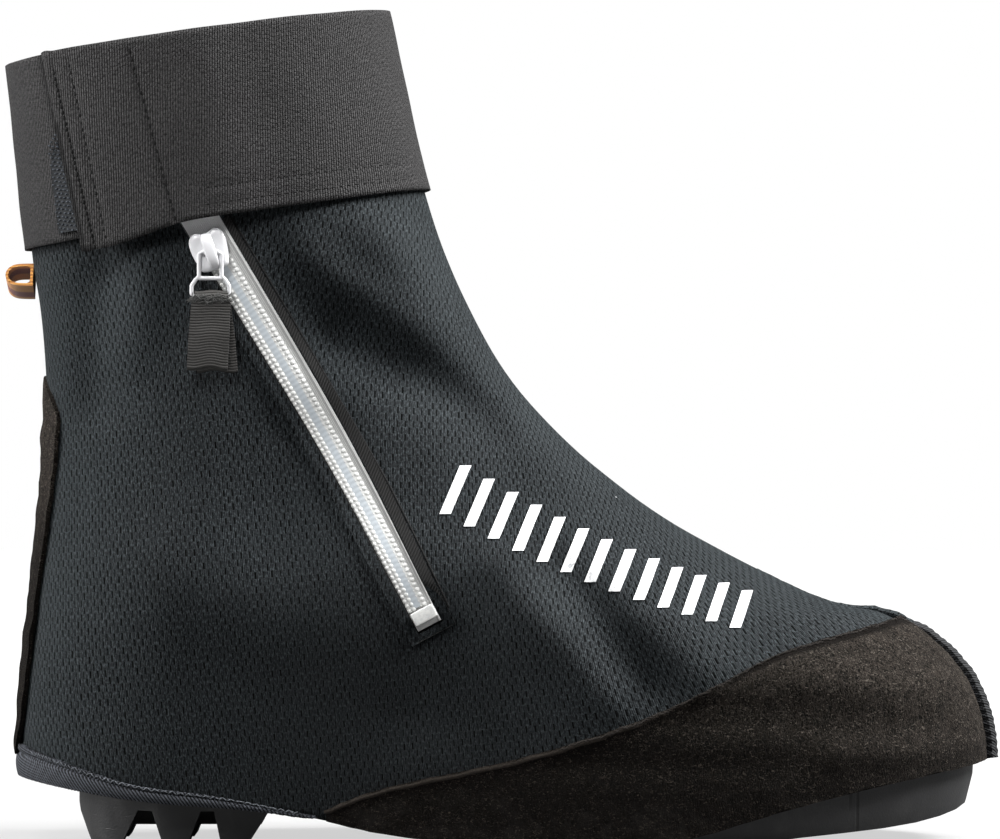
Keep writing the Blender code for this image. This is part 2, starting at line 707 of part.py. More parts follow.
def tube_loop(points, closed=True):
    """Rings of a round wire through points in the plane of the bail."""
    rings, count = [], len(points)
    out = Vector((0, 0, 1))
    for k, point in enumerate(points):
        before = points[k - 1] if closed or k else point
        after = points[(k + 1) % count] if closed or k < count - 1 else point
        direction = (after - before).normalized()
        rings.append(circle_ring(point, out, direction.cross(out), WIRE))
    return rings


def add_bail(hinge):
    """Wire keyhole: a narrow loop through the bridge, a crossbar and a wide loop for the webbing."""
    narrow, wide = BAIL_NARROW / 2, BAIL_WIDE / 2
    bend, neck, end = BAIL_BEND, -BAIL_NECK, -BAIL_LENGTH
    right = [(BAIL_PIN * narrow, 0.0), (narrow, -WIRE), (narrow, neck + WIRE), (narrow + bend, neck - bend / 2),
             (wide, neck - 2 * bend), (wide, end + bend), (wide - bend, end)]
    outline = right + [(-x, y) for x, y in reversed(right)]
    points = [Vector((x, y, 0.0)) for x, y in outline]
    bail = add_sweep("zip_bail", tube_loop(points), "slider_enamel", closed=True)
    ends = [Vector((x, neck, 0.0)) for x in (-narrow, narrow)]
    bar = add_sweep("bail crossbar", tube_loop(ends, closed=False), None)
    combine(bail, bar, "UNION")
    for obj in (bail, bar):
        obj.parent = hinge
    return bail


def add_pull_tab(hinge):
    """Webbing gathered round the bail's lower wire, its two plies hanging down to a fold."""
    top = -BAIL_LENGTH + WIRE + GAP + TAB_WEB
    bottom = top - TAB_LENGTH
    ply = WIRE + GAP + TAB_WEB
    front = [(ply * FOLD_LOW, bottom, 1.0), (ply, bottom + TAB_FOLD, 1.0), (ply, top - TAB_NECK, 1.0),
             (ply, top - TAB_FOLD, TAB_GATHER), (ply * FOLD_HIGH, top, TAB_GATHER)]
    outline = front + [(-z, y, share) for z, y, share in reversed(front)]
    centre, tall = (top + bottom) / 2, TAB_LENGTH / 2
    rings = []
    for z, y, share in outline:
        half = TAB_WIDTH / 2 * share
        inner_y = centre + (y - centre) / tall * (tall - TAB_WEB)
        inner_z = z / ply * (ply - TAB_WEB)
        rings.append([Vector((-half, y, z)), Vector((half, y, z)),
                      Vector((half, inner_y, inner_z)), Vector((-half, inner_y, inner_z))])
    tab = add_sweep("zip_pull_tab", rings, "webbing", closed=True)
    tab.parent = hinge
    return tab


# Sole

def sole_loop(level_of, inset, height=None):
    """Points round the sole: on the inside of the wall, moved inward and set to a height if given."""
    loop = []
    for k in range(COLUMNS):
        turn = k / COLUMNS
        level = level_of(turn)
        point = wall_off(turn, level, -WALL - EDGE_GAP - inset)
        if height:
            point.z = height(point.x)
        loop.append(point)
    return loop


def under_height(x):
    return 0.0 if FLAT_START <= x <= FLAT_END else max(0.0, height_at(SOLE_UNDER, x))


def add_sole_plate():
    """Sole body that fills the cloth's lower opening, in loops from its top to its underside."""
    def seat(turn):
        return level_at(turn, lambda x: hem_height(x) + SOLE_SEAT)

    def lip(turn):
        return level_at(turn, lambda x: max(hem_height(x), under_height(x)) + SOLE_LIP)

    def halfway(x):
        return under_height(x) + SIDE_LIFT + SIDE_SHARE * max(hem_height(x) - under_height(x), 0.0)

    loops = [sole_loop(seat, 0.0), sole_loop(lip, 0.0), sole_loop(lip, SIDE_INSET, halfway),
             sole_loop(lip, SOLE_INSET, under_height)]
    points = [p for loop in loops for p in loop]
    faces = []
    for k in range(len(loops) - 1):
        for i in range(COLUMNS):
            j = (i + 1) % COLUMNS
            faces.append([k * COLUMNS + i, k * COLUMNS + j, (k + 1) * COLUMNS + j, (k + 1) * COLUMNS + i])
    for base in (0, (len(loops) - 1) * COLUMNS):
        for i in range(COLUMNS // 2):
            ring = [i, i + 1, COLUMNS - i - 1, (COLUMNS - i) % COLUMNS]
            faces.append([base + n for n in dict.fromkeys(ring)])
    return add_object("outsole", points, faces, "rubber")


def add_heel_block():
    """Heel below the plate: two rows of lugs with a bar between them, rounded in plan."""
    outline = [tuple(HEEL_BACK)]
    for lug in LUGS:
        outline += [(lug.back_root, LUG_ROOT_Z), (lug.back_tip, 0.0), (lug.front_tip, 0.0),
                    (lug.front_root, LUG_ROOT_Z)]
    outline += [tuple(HEEL_FRONT), (HEEL_FRONT.x, HEEL_BACK.z)]
    block = add_prism("heel block", outline, -HEEL_HALF, HEEL_HALF)
    loop = sole_loop(lambda turn: 0.0, HEEL_INSET)
    plan = [[Vector((p.x + HEEL_FORWARD, p.y, z)) for p in loop] for z in (-OVER, HEEL_BACK.z + OVER)]
    combine(block, add_sweep("heel plan", plan, None), "INTERSECT")
    back, front = LUGS[0].back_tip, LUGS[-1].front_tip
    channel = add_box("heel channel", (back - OVER, -CORE_HALF, -OVER), (front + OVER, CORE_HALF, CORE_Z))
    combine(block, channel, "DIFFERENCE")
    half = CORE_HALF + MELD
    core = add_box("heel core", (back + MELD, -half, CORE_Z), (CORE_FRONT, half, CORE_TOP))
    combine(block, core, "UNION")
    return block


def add_outsole():
    outsole = add_sole_plate()
    combine(outsole, add_heel_block(), "UNION")
    steps = 12
    xs = [GROOVE_START + (GROOVE_END - GROOVE_START) * k / (steps - 1) for k in range(steps)]
    outline = [(x, under_height(x) + GROOVE_DEPTH) for x in xs] + [(xs[-1], -OVER), (xs[0], -OVER)]
    for name, side in (("outer groove", -1), ("inner groove", 1)):
        middle = side * GROOVE_OFF_CENTRE + GROOVE_LEAN
        groove = add_prism(name, outline, middle - GROOVE_WIDTH / 2, middle + GROOVE_WIDTH / 2)
        combine(outsole, groove, "DIFFERENCE")
    turn = turn_at(0.0, TOE_SEAM_X)
    for name, side in (("outer toe seam", 1), ("inner toe seam", -1)):
        edge = wall_off(side * turn, 0.0, -WALL - EDGE_GAP - TOE_SEAM_DEPTH).y
        far = edge - side * OVER
        cutter = add_box(name, (TOE_SEAM_X - TOE_SEAM_WIDTH / 2, min(edge, far), -OVER),
                         (TOE_SEAM_X + TOE_SEAM_WIDTH / 2, max(edge, far), 3 * OVER))
        combine(outsole, cutter, "DIFFERENCE")
    return outsole


# Assembly

def bottom_centre(objects):
    """Middle of the lowest face of the box round the finished pieces."""
    bpy.context.view_layer.update()
    graph = bpy.context.evaluated_depsgraph_get()
    corners = []
    for obj in objects:
        made = obj.evaluated_get(graph)
        corners += [made.matrix_world @ v.co for v in made.data.vertices]
    low = [min(p[k] for p in corners) for k in range(3)]
    high = [max(p[k] for p in corners) for k in range(3)]
    return Vector(((low[0] + high[0]) / 2, (low[1] + high[1]) / 2, low[2]))


def main():
    for obj in list(bpy.data.objects):
        bpy.data.objects.remove(obj)
    hinge = bpy.data.objects.new("pull hinge", None)
    bpy.context.scene.collection.objects.link(hinge)
    hinge.matrix_world = pull_frame()
    pieces = [
        add_outsole(), add_shell(), add_cuff(), add_loop_patch(), add_rand("rand_outer", 1),
        add_rand("rand_inner", -1), add_toe_seam(), add_hem_binding(), add_heel_strip(), add_heel_loop(),
        add_zip_tape(), add_zip_facing(), add_zip_chain(), add_bottom_stop(), add_slider(),
        add_bail(hinge), add_pull_tab(hinge),
    ]
    origin = bpy.data.objects.new("cover", None)
    bpy.context.scene.collection.objects.link(origin)
    origin.location = -bottom_centre(pieces)
    for obj in list(bpy.data.objects):
        if obj.parent is None and obj is not origin:
            obj.parent = origin
    bpy.context.view_layer.update()


main()
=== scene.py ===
import json
import math
import bpy
import numpy as np
from mathutils import Matrix, Vector, noise
from mathutils.bvhtree import BVHTree


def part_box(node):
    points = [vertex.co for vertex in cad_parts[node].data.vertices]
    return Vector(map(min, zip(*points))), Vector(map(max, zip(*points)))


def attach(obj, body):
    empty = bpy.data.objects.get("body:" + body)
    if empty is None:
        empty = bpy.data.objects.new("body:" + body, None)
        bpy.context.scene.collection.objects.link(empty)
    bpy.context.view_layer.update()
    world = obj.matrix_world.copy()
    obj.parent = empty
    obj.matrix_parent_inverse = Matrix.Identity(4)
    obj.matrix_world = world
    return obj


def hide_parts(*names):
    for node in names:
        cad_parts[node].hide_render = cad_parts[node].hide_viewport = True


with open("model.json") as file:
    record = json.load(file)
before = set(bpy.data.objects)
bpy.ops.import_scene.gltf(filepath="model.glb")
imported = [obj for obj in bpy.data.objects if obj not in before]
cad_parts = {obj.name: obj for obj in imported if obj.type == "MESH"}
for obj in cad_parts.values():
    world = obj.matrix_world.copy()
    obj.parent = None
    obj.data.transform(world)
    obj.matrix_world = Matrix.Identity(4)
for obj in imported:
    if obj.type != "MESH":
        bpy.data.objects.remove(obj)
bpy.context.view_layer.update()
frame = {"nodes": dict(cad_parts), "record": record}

noise.seed_set(11)   # the same jitter on every run
print("frame loaded")


# Hand tools

def objectMode():
    if bpy.context.mode != "OBJECT":
        bpy.ops.object.mode_set(mode="OBJECT")


def pickOnly(obj, *others):
    objectMode()
    bpy.ops.object.select_all(action="DESELECT")
    for piece in (obj, *others):
        piece.select_set(True)
    bpy.context.view_layer.objects.active = obj


def editPiece(obj, kind="FACE"):
    pickOnly(obj)
    bpy.ops.object.mode_set(mode="EDIT")
    bpy.ops.mesh.select_mode(type=kind)
    bpy.ops.mesh.select_all(action="SELECT")


def applyModifier(obj, kind, **settings):
    pickOnly(obj)
    modifier = obj.modifiers.new(kind.lower(), kind)
    for key, value in settings.items():
        setattr(modifier, key, value)
    bpy.ops.object.modifier_apply(modifier=modifier.name)


def subdivide(obj, levels):
    applyModifier(obj, "SUBSURF", levels=levels, render_levels=levels)


def copyNode(nodeName, pieceName, levels=0, sharpness=50):
    mesh = frame["nodes"][nodeName].data.copy()
    mesh.materials.clear()
    piece = bpy.data.objects.new(pieceName, mesh)
    bpy.context.scene.collection.objects.link(piece)
    pickOnly(piece)
    bpy.ops.mesh.customdata_custom_splitnormals_clear()
    editPiece(piece, "EDGE")
    bpy.ops.mesh.remove_doubles(threshold=0.000002)
    bpy.ops.mesh.tris_convert_to_quads(face_threshold=math.radians(60), shape_threshold=math.radians(60))
    bpy.ops.mesh.select_all(action="DESELECT")
    bpy.ops.mesh.edges_select_sharp(sharpness=math.radians(sharpness))
    bpy.ops.transform.edge_crease(value=1.0)   # thin cloth rims stay thin
    bpy.ops.mesh.mark_seam(clear=False)
    objectMode()
    if levels:
        subdivide(piece, levels)
    return piece


def newPiece(pieceName, spots, faces):
    mesh = bpy.data.meshes.new(pieceName)
    mesh.from_pydata([tuple(spot) for spot in spots], [], faces)
    piece = bpy.data.objects.new(pieceName, mesh)
    bpy.context.scene.collection.objects.link(piece)
    return piece


def joinPieces(pieceName, *pieces):
    pickOnly(*pieces)
    bpy.ops.object.join()
    pieces[0].name = pieceName
    return pieces[0]


def readPoints(obj):
    spots = np.empty(len(obj.data.vertices) * 3)
    obj.data.vertices.foreach_get("co", spots)
    return spots.reshape(-1, 3)


def readNormals(obj):
    ways = np.empty(len(obj.data.vertices) * 3)
    obj.data.vertex_normals.foreach_get("vector", ways)
    return ways.reshape(-1, 3)


def writePoints(obj, spots):
    obj.data.vertices.foreach_set("co", np.ascontiguousarray(spots).ravel())
    obj.data.update()


def writeValues(obj, name, values):
    obj.data.attributes.new(name, "FLOAT", "POINT").data.foreach_set("value", values)


def smoothStep(value, low, high):
    share = np.clip((value - low) / (high - low), 0.0, 1.0)
    return share * share * (3.0 - 2.0 * share)


def ridge(value, middle, width):
    return np.exp(-((value - middle) / width) ** 2)


def between(pair, share):
    return pair[0] + (pair[1] - pair[0]) * share


def roughness(spots, scale, seed=0.0):   # soft noise between -1 and 1 at each point
    return np.array([noise.noise(Vector(spot) * scale + Vector((seed, 2 * seed, 0))) for spot in spots])


def setUv(obj, along, across, loopLength=None):   # lays the faces out by two lengths per point
    mesh = obj.data
    layer = mesh.uv_layers.active or mesh.uv_layers.new(name="UVMap")
    corner = np.empty(len(mesh.loops), dtype=np.int32)
    mesh.loops.foreach_get("vertex_index", corner)
    flat = np.stack([along[corner], across[corner]], axis=1)
    if loopLength:   # faces over the ring's cut keep one run of lengths
        for face in mesh.polygons:
            loops = list(face.loop_indices)
            if np.ptp(flat[loops, 0]) > loopLength / 2:
                flat[loops, 0] += np.where(flat[loops, 0] < loopLength / 2, loopLength, 0.0)
    layer.data.foreach_set("uv", flat.ravel())


def profile(pick, places, values, count, low, high):   # one measure for each step along a run of points
    bins = np.linspace(low, high, count + 1)
    slot = np.clip(np.digitize(places, bins) - 1, 0, count - 1)
    known = [k for k in range(count) if np.any(slot == k)]
    return ((bins[:-1] + bins[1:]) / 2)[known], [pick(values[slot == k]) for k in known]


def ringLength(spots, centre, first, second):   # arc length round an axis, cut opposite the first way
    bins = np.linspace(-math.pi, math.pi, 181)
    angle = np.arctan2(spots[:, second] - centre[1], centre[0] - spots[:, first])
    reach = np.hypot(spots[:, first] - centre[0], spots[:, second] - centre[1])
    radius = np.interp(bins, *profile(np.mean, angle, reach, 180, -math.pi, math.pi))
    steps = np.hypot(np.diff(radius * np.cos(bins)), np.diff(radius * np.sin(bins)))
    length = np.concatenate([[0.0], np.cumsum(steps)])
    return np.interp(angle, bins, length), length[-1]


def sideTree(obj):
    faces = [list(face.vertices) for face in obj.data.polygons]
    return BVHTree.FromPolygons([v.co.copy() for v in obj.data.vertices], faces)


def onSide(tree, x, z, side=-1):   # where a line straight across the shoe meets a piece
    return tree.ray_cast(Vector((x, 0.2 * side, z)), Vector((0, -side, 0)))[:2]


def standAt(spot, along, out, size=(1.0, 1.0, 1.0)):   # X along, Z out of the surface
    out = out.normalized()
    side = out.cross(along).normalized()
    turn = Matrix((side.cross(out), side, out)).transposed().to_4x4()
    return Matrix.Translation(spot) @ turn @ Matrix.Diagonal((*size, 1.0))


def evenSteps(points, pitch):   # places and directions at an even pitch along a line of points
    points = [Vector(p) for p in points]
    lengths = np.concatenate([[0.0], np.cumsum([(b - a).length for a, b in zip(points, points[1:])])])
    count = max(int(lengths[-1] / pitch), 1)
    steps = []
    for k in range(count):
        at = (k + 0.5) * lengths[-1] / count
        i = min(int(np.searchsorted(lengths, at, side="right")) - 1, len(points) - 2)
        way = (points[i + 1] - points[i]).normalized()
        steps.append((points[i] + way * (at - lengths[i]), way))
    return steps


def sewAlong(tree, line, pitch, sink):   # stitch places on the zip's side under a line in side view
    places = []
    for spot, way in evenSteps([(x, 0, z) for x, z in line], pitch):
        here, out = onSide(tree, spot.x, spot.z)
        if here is not None:
            places.append(standAt(here - out * sink, way, out))
    return places


def finishPiece(obj, slot, material, *nodes, angle=None, body="cover"):
    pickOnly(obj)
    if angle is None:
        bpy.ops.object.shade_smooth()
    else:
        bpy.ops.object.shade_smooth_by_angle(angle=math.radians(angle))
    if material is not None:
        obj.data.materials.clear()
        obj.data.materials.append(material)
    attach(obj, body)
    if nodes:
        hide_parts(*nodes)
    print("piece", obj.name, sum(len(p.vertices) - 2 for p in obj.data.polygons))


def stampGrains(pieceName, slot, material, size, places, segments=6, rings=4, nodes=(), body="cover"):
    bpy.ops.mesh.primitive_uv_sphere_add(segments=segments, ring_count=rings, radius=0.5)
    grain = bpy.context.object
    editPiece(grain)
    bpy.ops.transform.rotate(value=math.pi / 2, orient_axis="Y", center_override=(0, 0, 0))
    bpy.ops.transform.resize(value=size, center_override=(0, 0, 0))
    objectMode()
    base = np.hstack([readPoints(grain), np.ones((len(grain.data.vertices), 1))])
    faces = [list(face.vertices) for face in grain.data.polygons]
    spots, allFaces = [], []
    for k, place in enumerate(places):   # one joined mesh of many copies
        spots.append(base @ np.array(place).T[:, :3])
        allFaces += [[v + k * len(base) for v in face] for face in faces]
    bpy.data.objects.remove(grain)
    finishPiece(newPiece(pieceName, np.concatenate(spots), allFaces), slot, material, *nodes, body=body)


# Shader tools, which work on the tree in hand

desk = {"tree": None, "shader": None}


def addNode(kind, **settings):
    node = desk["tree"].nodes.new(kind)
    for key, value in settings.items():
        setattr(node, key, value)
    return node


def plug(socket, item):
    if isinstance(item, bpy.types.NodeSocket):
        desk["tree"].links.new(item, socket)
    elif socket.type == "RGBA":
        socket.default_value = (*item, 1)
    else:
        socket.default_value = item


def calc(operation, *items):
    node = addNode("ShaderNodeMath", operation=operation)
    for socket, item in zip(node.inputs, items):
        plug(socket, item)
    return node.outputs[0]


def times(first, second):
    return calc("MULTIPLY", first, second)


def plus(first, second):
    return calc("ADD", first, second)


def minus(first, second):
    return calc("SUBTRACT", first, second)


def scaled(value, factor, base):
    return calc("MULTIPLY_ADD", value, factor, base)


def awayFrom(value, middle):
    return calc("ABSOLUTE", minus(value, middle))


def wave(value, pitch):
    return calc("SINE", times(value, 2 * math.pi / pitch))


def blend(share, first, second):
    node = addNode("ShaderNodeMix", data_type="RGBA")
    for number, item in ((0, share), (6, first), (7, second)):
        plug(node.inputs[number], item)
    return node.outputs[2]


def ease(value, low, high, start=0.0, end=1.0):
    node = addNode("ShaderNodeMapRange", interpolation_type="SMOOTHSTEP")
    for socket, item in zip(node.inputs, (value, low, high, start, end)):
        plug(socket, item)
    return node.outputs[0]


def cloud(place, scale, detail=2.0, rough=0.5, distort=0.0):
    node = addNode("ShaderNodeTexNoise")
    items = {"Vector": place, "Scale": scale, "Detail": detail, "Roughness": rough, "Distortion": distort}
    for key, item in items.items():
        plug(node.inputs[key], item)
    return node.outputs[0]


def stretch(place, scale, turn=(0.0, 0.0, 0.0)):
    node = addNode("ShaderNodeMapping")
    for key, item in (("Rotation", turn), ("Scale", scale), ("Vector", place)):
        plug(node.inputs[key], item)
    return node.outputs[0]


def axes(place):
    node = addNode("ShaderNodeSeparateXYZ")
    plug(node.inputs[0], place)
    return node.outputs


def chanceAt(column, row):
    cell = addNode("ShaderNodeCombineXYZ")
    plug(cell.inputs[0], column)
    plug(cell.inputs[1], row)
    node = addNode("ShaderNodeTexWhiteNoise", noise_dimensions="2D")
    plug(node.inputs["Vector"], cell.outputs[0])
    return node.outputs[0]


def attribute(name):
    return addNode("ShaderNodeAttribute", attribute_name=name).outputs["Fac"]


def newGroup(name, outputs, **inputs):
    desk["tree"] = bpy.data.node_groups.new(name, "ShaderNodeTree")
    sockets = desk["tree"].interface
    sockets.new_socket(name="Place", in_out="INPUT", socket_type="NodeSocketVector")
    for label, value in inputs.items():
        sockets.new_socket(name=label, in_out="INPUT", socket_type="NodeSocketFloat").default_value = value
    for label in outputs:
        sockets.new_socket(name=label, in_out="OUTPUT", socket_type="NodeSocketFloat")
    return desk["tree"], addNode("NodeGroupInput").outputs, addNode("NodeGroupOutput").inputs


def useGroup(group, place, **items):
    node = addNode("ShaderNodeGroup", node_tree=group)
    plug(node.inputs["Place"], place)
    for key, item in items.items():
        plug(node.inputs[key], item)
    return node.outputs


def newMaterial(name, rough=0.8, sheen=0.0, tint=(1, 1, 1), **constants):
    material = bpy.data.materials.new(name)
    material.use_nodes = True
    desk["tree"] = material.node_tree
    desk["shader"] = material.node_tree.nodes["Principled BSDF"]
    constants.update(Roughness=rough, Sheen_Weight=sheen, Sheen_Tint=tint)
    for key, value in constants.items():
        plug(desk["shader"].inputs[key.replace("_", " ")], value)
    coords = addNode("ShaderNodeTexCoord")
    return material, coords.outputs["Object"], coords.outputs["UV"]


def coat(colour, height, depth, strength=1.0, rough=None):   # finishes the material in hand
    node = addNode("ShaderNodeBump")
    for key, item in (("Strength", strength), ("Distance", depth), ("Height", height)):
        plug(node.inputs[key], item)
    plug(desk["shader"].inputs["Normal"], node.outputs[0])
    plug(desk["shader"].inputs["Base Color"], colour)
    if rough is not None:
        plug(desk["shader"].inputs["Roughness"], rough)


# Shared cloth effects

def makeBrickCells():
    tree, given, result = newGroup("brickCells", ("Across", "Along", "Chance"), Pitch=0.001, Row=0.001)
    x, y, _ = axes(given["Place"])
    row = calc("DIVIDE", y, given["Row"])
    rowNumber = calc("FLOOR", row)
    shift = times(calc("FLOORED_MODULO", rowNumber, 2.0), 0.5)
    column = plus(calc("DIVIDE", x, given["Pitch"]), shift)
    columnNumber = calc("FLOOR", column)
    plug(result["Across"], awayFrom(minus(column, columnNumber), 0.5))
    plug(result["Along"], awayFrom(minus(row, rowNumber), 0.5))
    plug(result["Chance"], chanceAt(columnNumber, rowNumber))
    return tree


def makeKnitFace():   # upright slits in brick order between fine upright yarns
    tree, given, result = newGroup("knitFace", ("Pit", "Height"), Pitch=0.0026, Row=0.0022)
    cells = useGroup(brickCells, given["Place"], Pitch=given["Pitch"], Row=given["Row"])
    width = scaled(cells["Chance"], 0.04, 0.095)
    slit = ease(cells["Across"], width, minus(width, 0.05))
    pit = times(times(slit, ease(cells["Along"], 0.53, 0.42)), scaled(cells["Chance"], 0.25, 0.75))
    x, y, _ = axes(given["Place"])
    fine = scaled(scaled(wave(x, 0.00054), 0.7, times(wave(y, 0.00046), 0.3)), 0.10, 0.10)
    swell = times(ease(cells["Across"], 0.06, 0.30), 0.16)
    plug(result["Pit"], pit)
    plug(result["Height"], plus(plus(times(minus(1.0, pit), 0.6), fine), swell))
    return tree


def makeGrainWeave():   # upright rice grains in columns that start at chance heights
    tree, given, result = newGroup("grainWeave", ("Height", "Gap"), Pitch=0.00078, Row=0.0013)
    x, y, _ = axes(given["Place"])
    column = calc("DIVIDE", x, given["Pitch"])
    columnNumber = calc("FLOOR", column)
    shift = addNode("ShaderNodeTexWhiteNoise", noise_dimensions="1D")
    plug(shift.inputs["W"], columnNumber)
    row = plus(calc("DIVIDE", y, given["Row"]), shift.outputs[0])
    rowNumber = calc("FLOOR", row)
    across = times(minus(minus(column, columnNumber), 0.5), 2.0)
    along = times(minus(minus(row, rowNumber), 0.5), 2.0)
    wide = minus(1.0, calc("POWER", calc("ABSOLUTE", across), 2.0))
    tall = scaled(calc("POWER", calc("ABSOLUTE", along), 7.0), -0.65, 1.0)
    grain = times(times(wide, tall), scaled(chanceAt(columnNumber, rowNumber), 0.6, 0.4))
    plug(result["Height"], grain)
    plug(result["Gap"], ease(grain, 0.36, 0.08))
    return tree


def makeRibs():   # even ribs along one length, slanted by the other
    tree, given, result = newGroup("tapeRibs", ("Height",), Pitch=0.0009, Slant=0.0)
    x, y, _ = axes(given["Place"])
    run = times(scaled(y, given["Slant"], x), 2 * math.pi)
    rib = scaled(calc("SINE", calc("DIVIDE", run, given["Pitch"])), 0.4, 0.45)
    thread = cloud(stretch(given["Place"], (900.0, 2600.0, 1.0)), 1.0, 2.0, 0.6)
    plug(result["Height"], scaled(thread, 0.3, rib))
    return tree


def makeNap():   # rough split leather: curled fibres, pale specks, rubbed patches
    tree, given, result = newGroup("suedeNap", ("Height", "Speck", "Rub"), Scale=1.0)
    place, scale = given["Place"], given["Scale"]
    hair = stretch(place, (1.0, 1.0, 0.55), (0.0, 0.5, 0.0))
    fleck = stretch(place, (0.75, 0.75, 1.25), (0.0, 0.45, 0.0))
    fibre = cloud(hair, times(scale, 980.0), 3.0, 0.65, 1.6)
    clump = cloud(place, times(scale, 210.0), 2.0, 0.5, 0.5)
    plug(result["Height"], scaled(clump, 0.2, fibre))
    plug(result["Speck"], ease(cloud(fleck, times(scale, 1350.0), 2.0, 0.5, 1.6), 0.56, 0.72))
    plug(result["Rub"], cloud(place, times(scale, 30.0)))
    return tree


def makeLint():   # a few pale specks of fluff
    tree, given, result = newGroup("lintSpecks", ("Mask",), Spacing=80.0)
    dots = addNode("ShaderNodeTexVoronoi")
    plug(dots.inputs["Vector"], given["Place"])
    plug(dots.inputs["Scale"], given["Spacing"])
    parts = addNode("ShaderNodeSeparateColor")
    plug(parts.inputs[0], dots.outputs["Color"])
    chosen = calc("GREATER_THAN", parts.outputs[0], 0.8)
    plug(result["Mask"], times(ease(dots.outputs["Distance"], 0.032, 0.012), chosen))
    return tree


def makeDust():   # dry dust that gathers low down and in patches
    tree, given, result = newGroup("lowDust", ("Mask",), Top=0.03)
    low = ease(axes(given["Place"])[2], given["Top"], 0.0)
    patch = ease(cloud(given["Place"], 120.0, 5.0, 0.65, 0.4), 0.45, 0.75)
    plug(result["Mask"], times(low, patch))
    return tree


brickCells = makeBrickCells()
knitFace, grainWeave, tapeRibs = makeKnitFace(), makeGrainWeave(), makeRibs()
suedeNap, lintSpecks, lowDust = makeNap(), makeLint(), makeDust()
print("effects made")


# Materials

def makeSoftshell():
    material, place, flat = newMaterial("softshell_knit", 0.7, 0.04, (0.62, 0.78, 0.82),
                                        Sheen_Roughness=0.4, Specular_IOR_Level=0.08)
    knit = useGroup(knitFace, flat)
    tone = ease(cloud(place, 26.0, 3.0, 0.6), 0.3, 0.7)
    yarn = blend(tone, (0.0074, 0.0088, 0.0099), (0.0120, 0.0144, 0.0159))
    fluff = ease(cloud(stretch(flat, (2600.0, 900.0, 1.0)), 1.0, 2.0, 0.6), 0.45, 0.71)
    bright = blend(fluff, yarn, (0.0450, 0.0529, 0.0571))
    x, _, z = axes(place)
    paintedShade = times(ease(awayFrom(x, -0.032), 0.075, 0.020), ease(z, 0.105, 0.050))   # painted shade, darkest low down in the middle of the wall
    shadedYarn = blend(times(paintedShade, 0.45), bright, (0.0010, 0.0012, 0.0013))
    face = blend(knit["Pit"], shadedYarn, (0.0002, 0.0003, 0.0003))
    linted = blend(useGroup(lintSpecks, place)["Mask"], face, (0.30, 0.31, 0.32))
    coat(linted, knit["Height"], 0.0009, rough=scaled(knit["Pit"], 0.2, 0.68))
    return material


def makeLining():
    material, place, _ = newMaterial("fleece_lining", 0.95, 0.4)
    nap = useGroup(suedeNap, place, Scale=0.7)["Height"]
    coat(blend(nap, (0.008, 0.009, 0.01), (0.035, 0.037, 0.04)), nap, 0.0006, 0.6)
    return material


def makeElastic():
    material, place, flat = newMaterial("elastic_weave", 0.9, 0.02,
                                        Sheen_Roughness=0.5, Specular_IOR_Level=0.08)
    weave = useGroup(grainWeave, flat)
    tone = ease(cloud(stretch(flat, (1900.0, 1000.0, 1.0)), 1.0, 3.0, 0.6), 0.30, 0.70)
    thread = blend(tone, (0.018, 0.0175, 0.0177), (0.062, 0.0608, 0.0612))
    face = blend(weave["Gap"], thread, (0.0016, 0.0015, 0.0015))
    # painted shade on the band beside the flap's end, where the flap overlaps it
    shaded = blend(times(attribute("tuck"), 0.85), face, (0.0020, 0.0020, 0.0021))
    lint = useGroup(lintSpecks, place, Spacing=60.0)
    coat(blend(lint["Mask"], shaded, (0.30, 0.30, 0.30)), weave["Height"], 0.0007, 0.9)
    return material


def makeSuede():
    material, place, _ = newMaterial("suede_nap", 0.95, 0.02, (0.9, 0.82, 0.76),
                                     Sheen_Roughness=0.6, Specular_IOR_Level=0.05)
    nap = useGroup(suedeNap, place)
    edge = attribute("rawEdge")   # above 0 torn, below 0 turned in
    x, _, z = axes(place)
    worn = scaled(nap["Rub"], 0.030, minus(scaled(x, 0.25, z), 0.015))   # rubbed patches at random plus painted light: lighter, with paler specks, higher up and towards the toe
    rubbedAndLit = blend(ease(worn, 0.042, 0.090), (0.0042, 0.0033, 0.0026), (0.0260, 0.0216, 0.0178))
    fibre = blend(ease(nap["Height"], 0.47, 0.71), (0.0012, 0.0010, 0.0008), rubbedAndLit)
    pale = blend(ease(worn, 0.030, 0.090), (0.042, 0.0345, 0.0280), (0.100, 0.0870, 0.0740))
    specked = blend(nap["Speck"], fibre, pale)
    # painted highlight: the turned-in edge is paler, as if catching the light
    turned = blend(ease(edge, -0.35, -0.85), specked, (0.0300, 0.0250, 0.0210))
    frayed = ease(scaled(nap["Height"], 0.6, edge), 0.55, 0.80)
    torn = blend(frayed, turned, (0.0035, 0.0027, 0.0022))
    dust = times(useGroup(lowDust, place)["Mask"], 0.12)
    coat(blend(dust, torn, (0.12, 0.11, 0.10)), nap["Height"], 0.0013)
    return material


def makeTape(name, dark, light, pitch, slant, depth):   # ribbed woven tape
    material, _, flat = newMaterial(name, 0.85, Specular_IOR_Level=0.25)
    ribs = useGroup(tapeRibs, flat, Pitch=pitch, Slant=slant)["Height"]
    coat(blend(ease(ribs, 0.3, 0.8), dark, light), ribs, depth, 0.9)
    return material


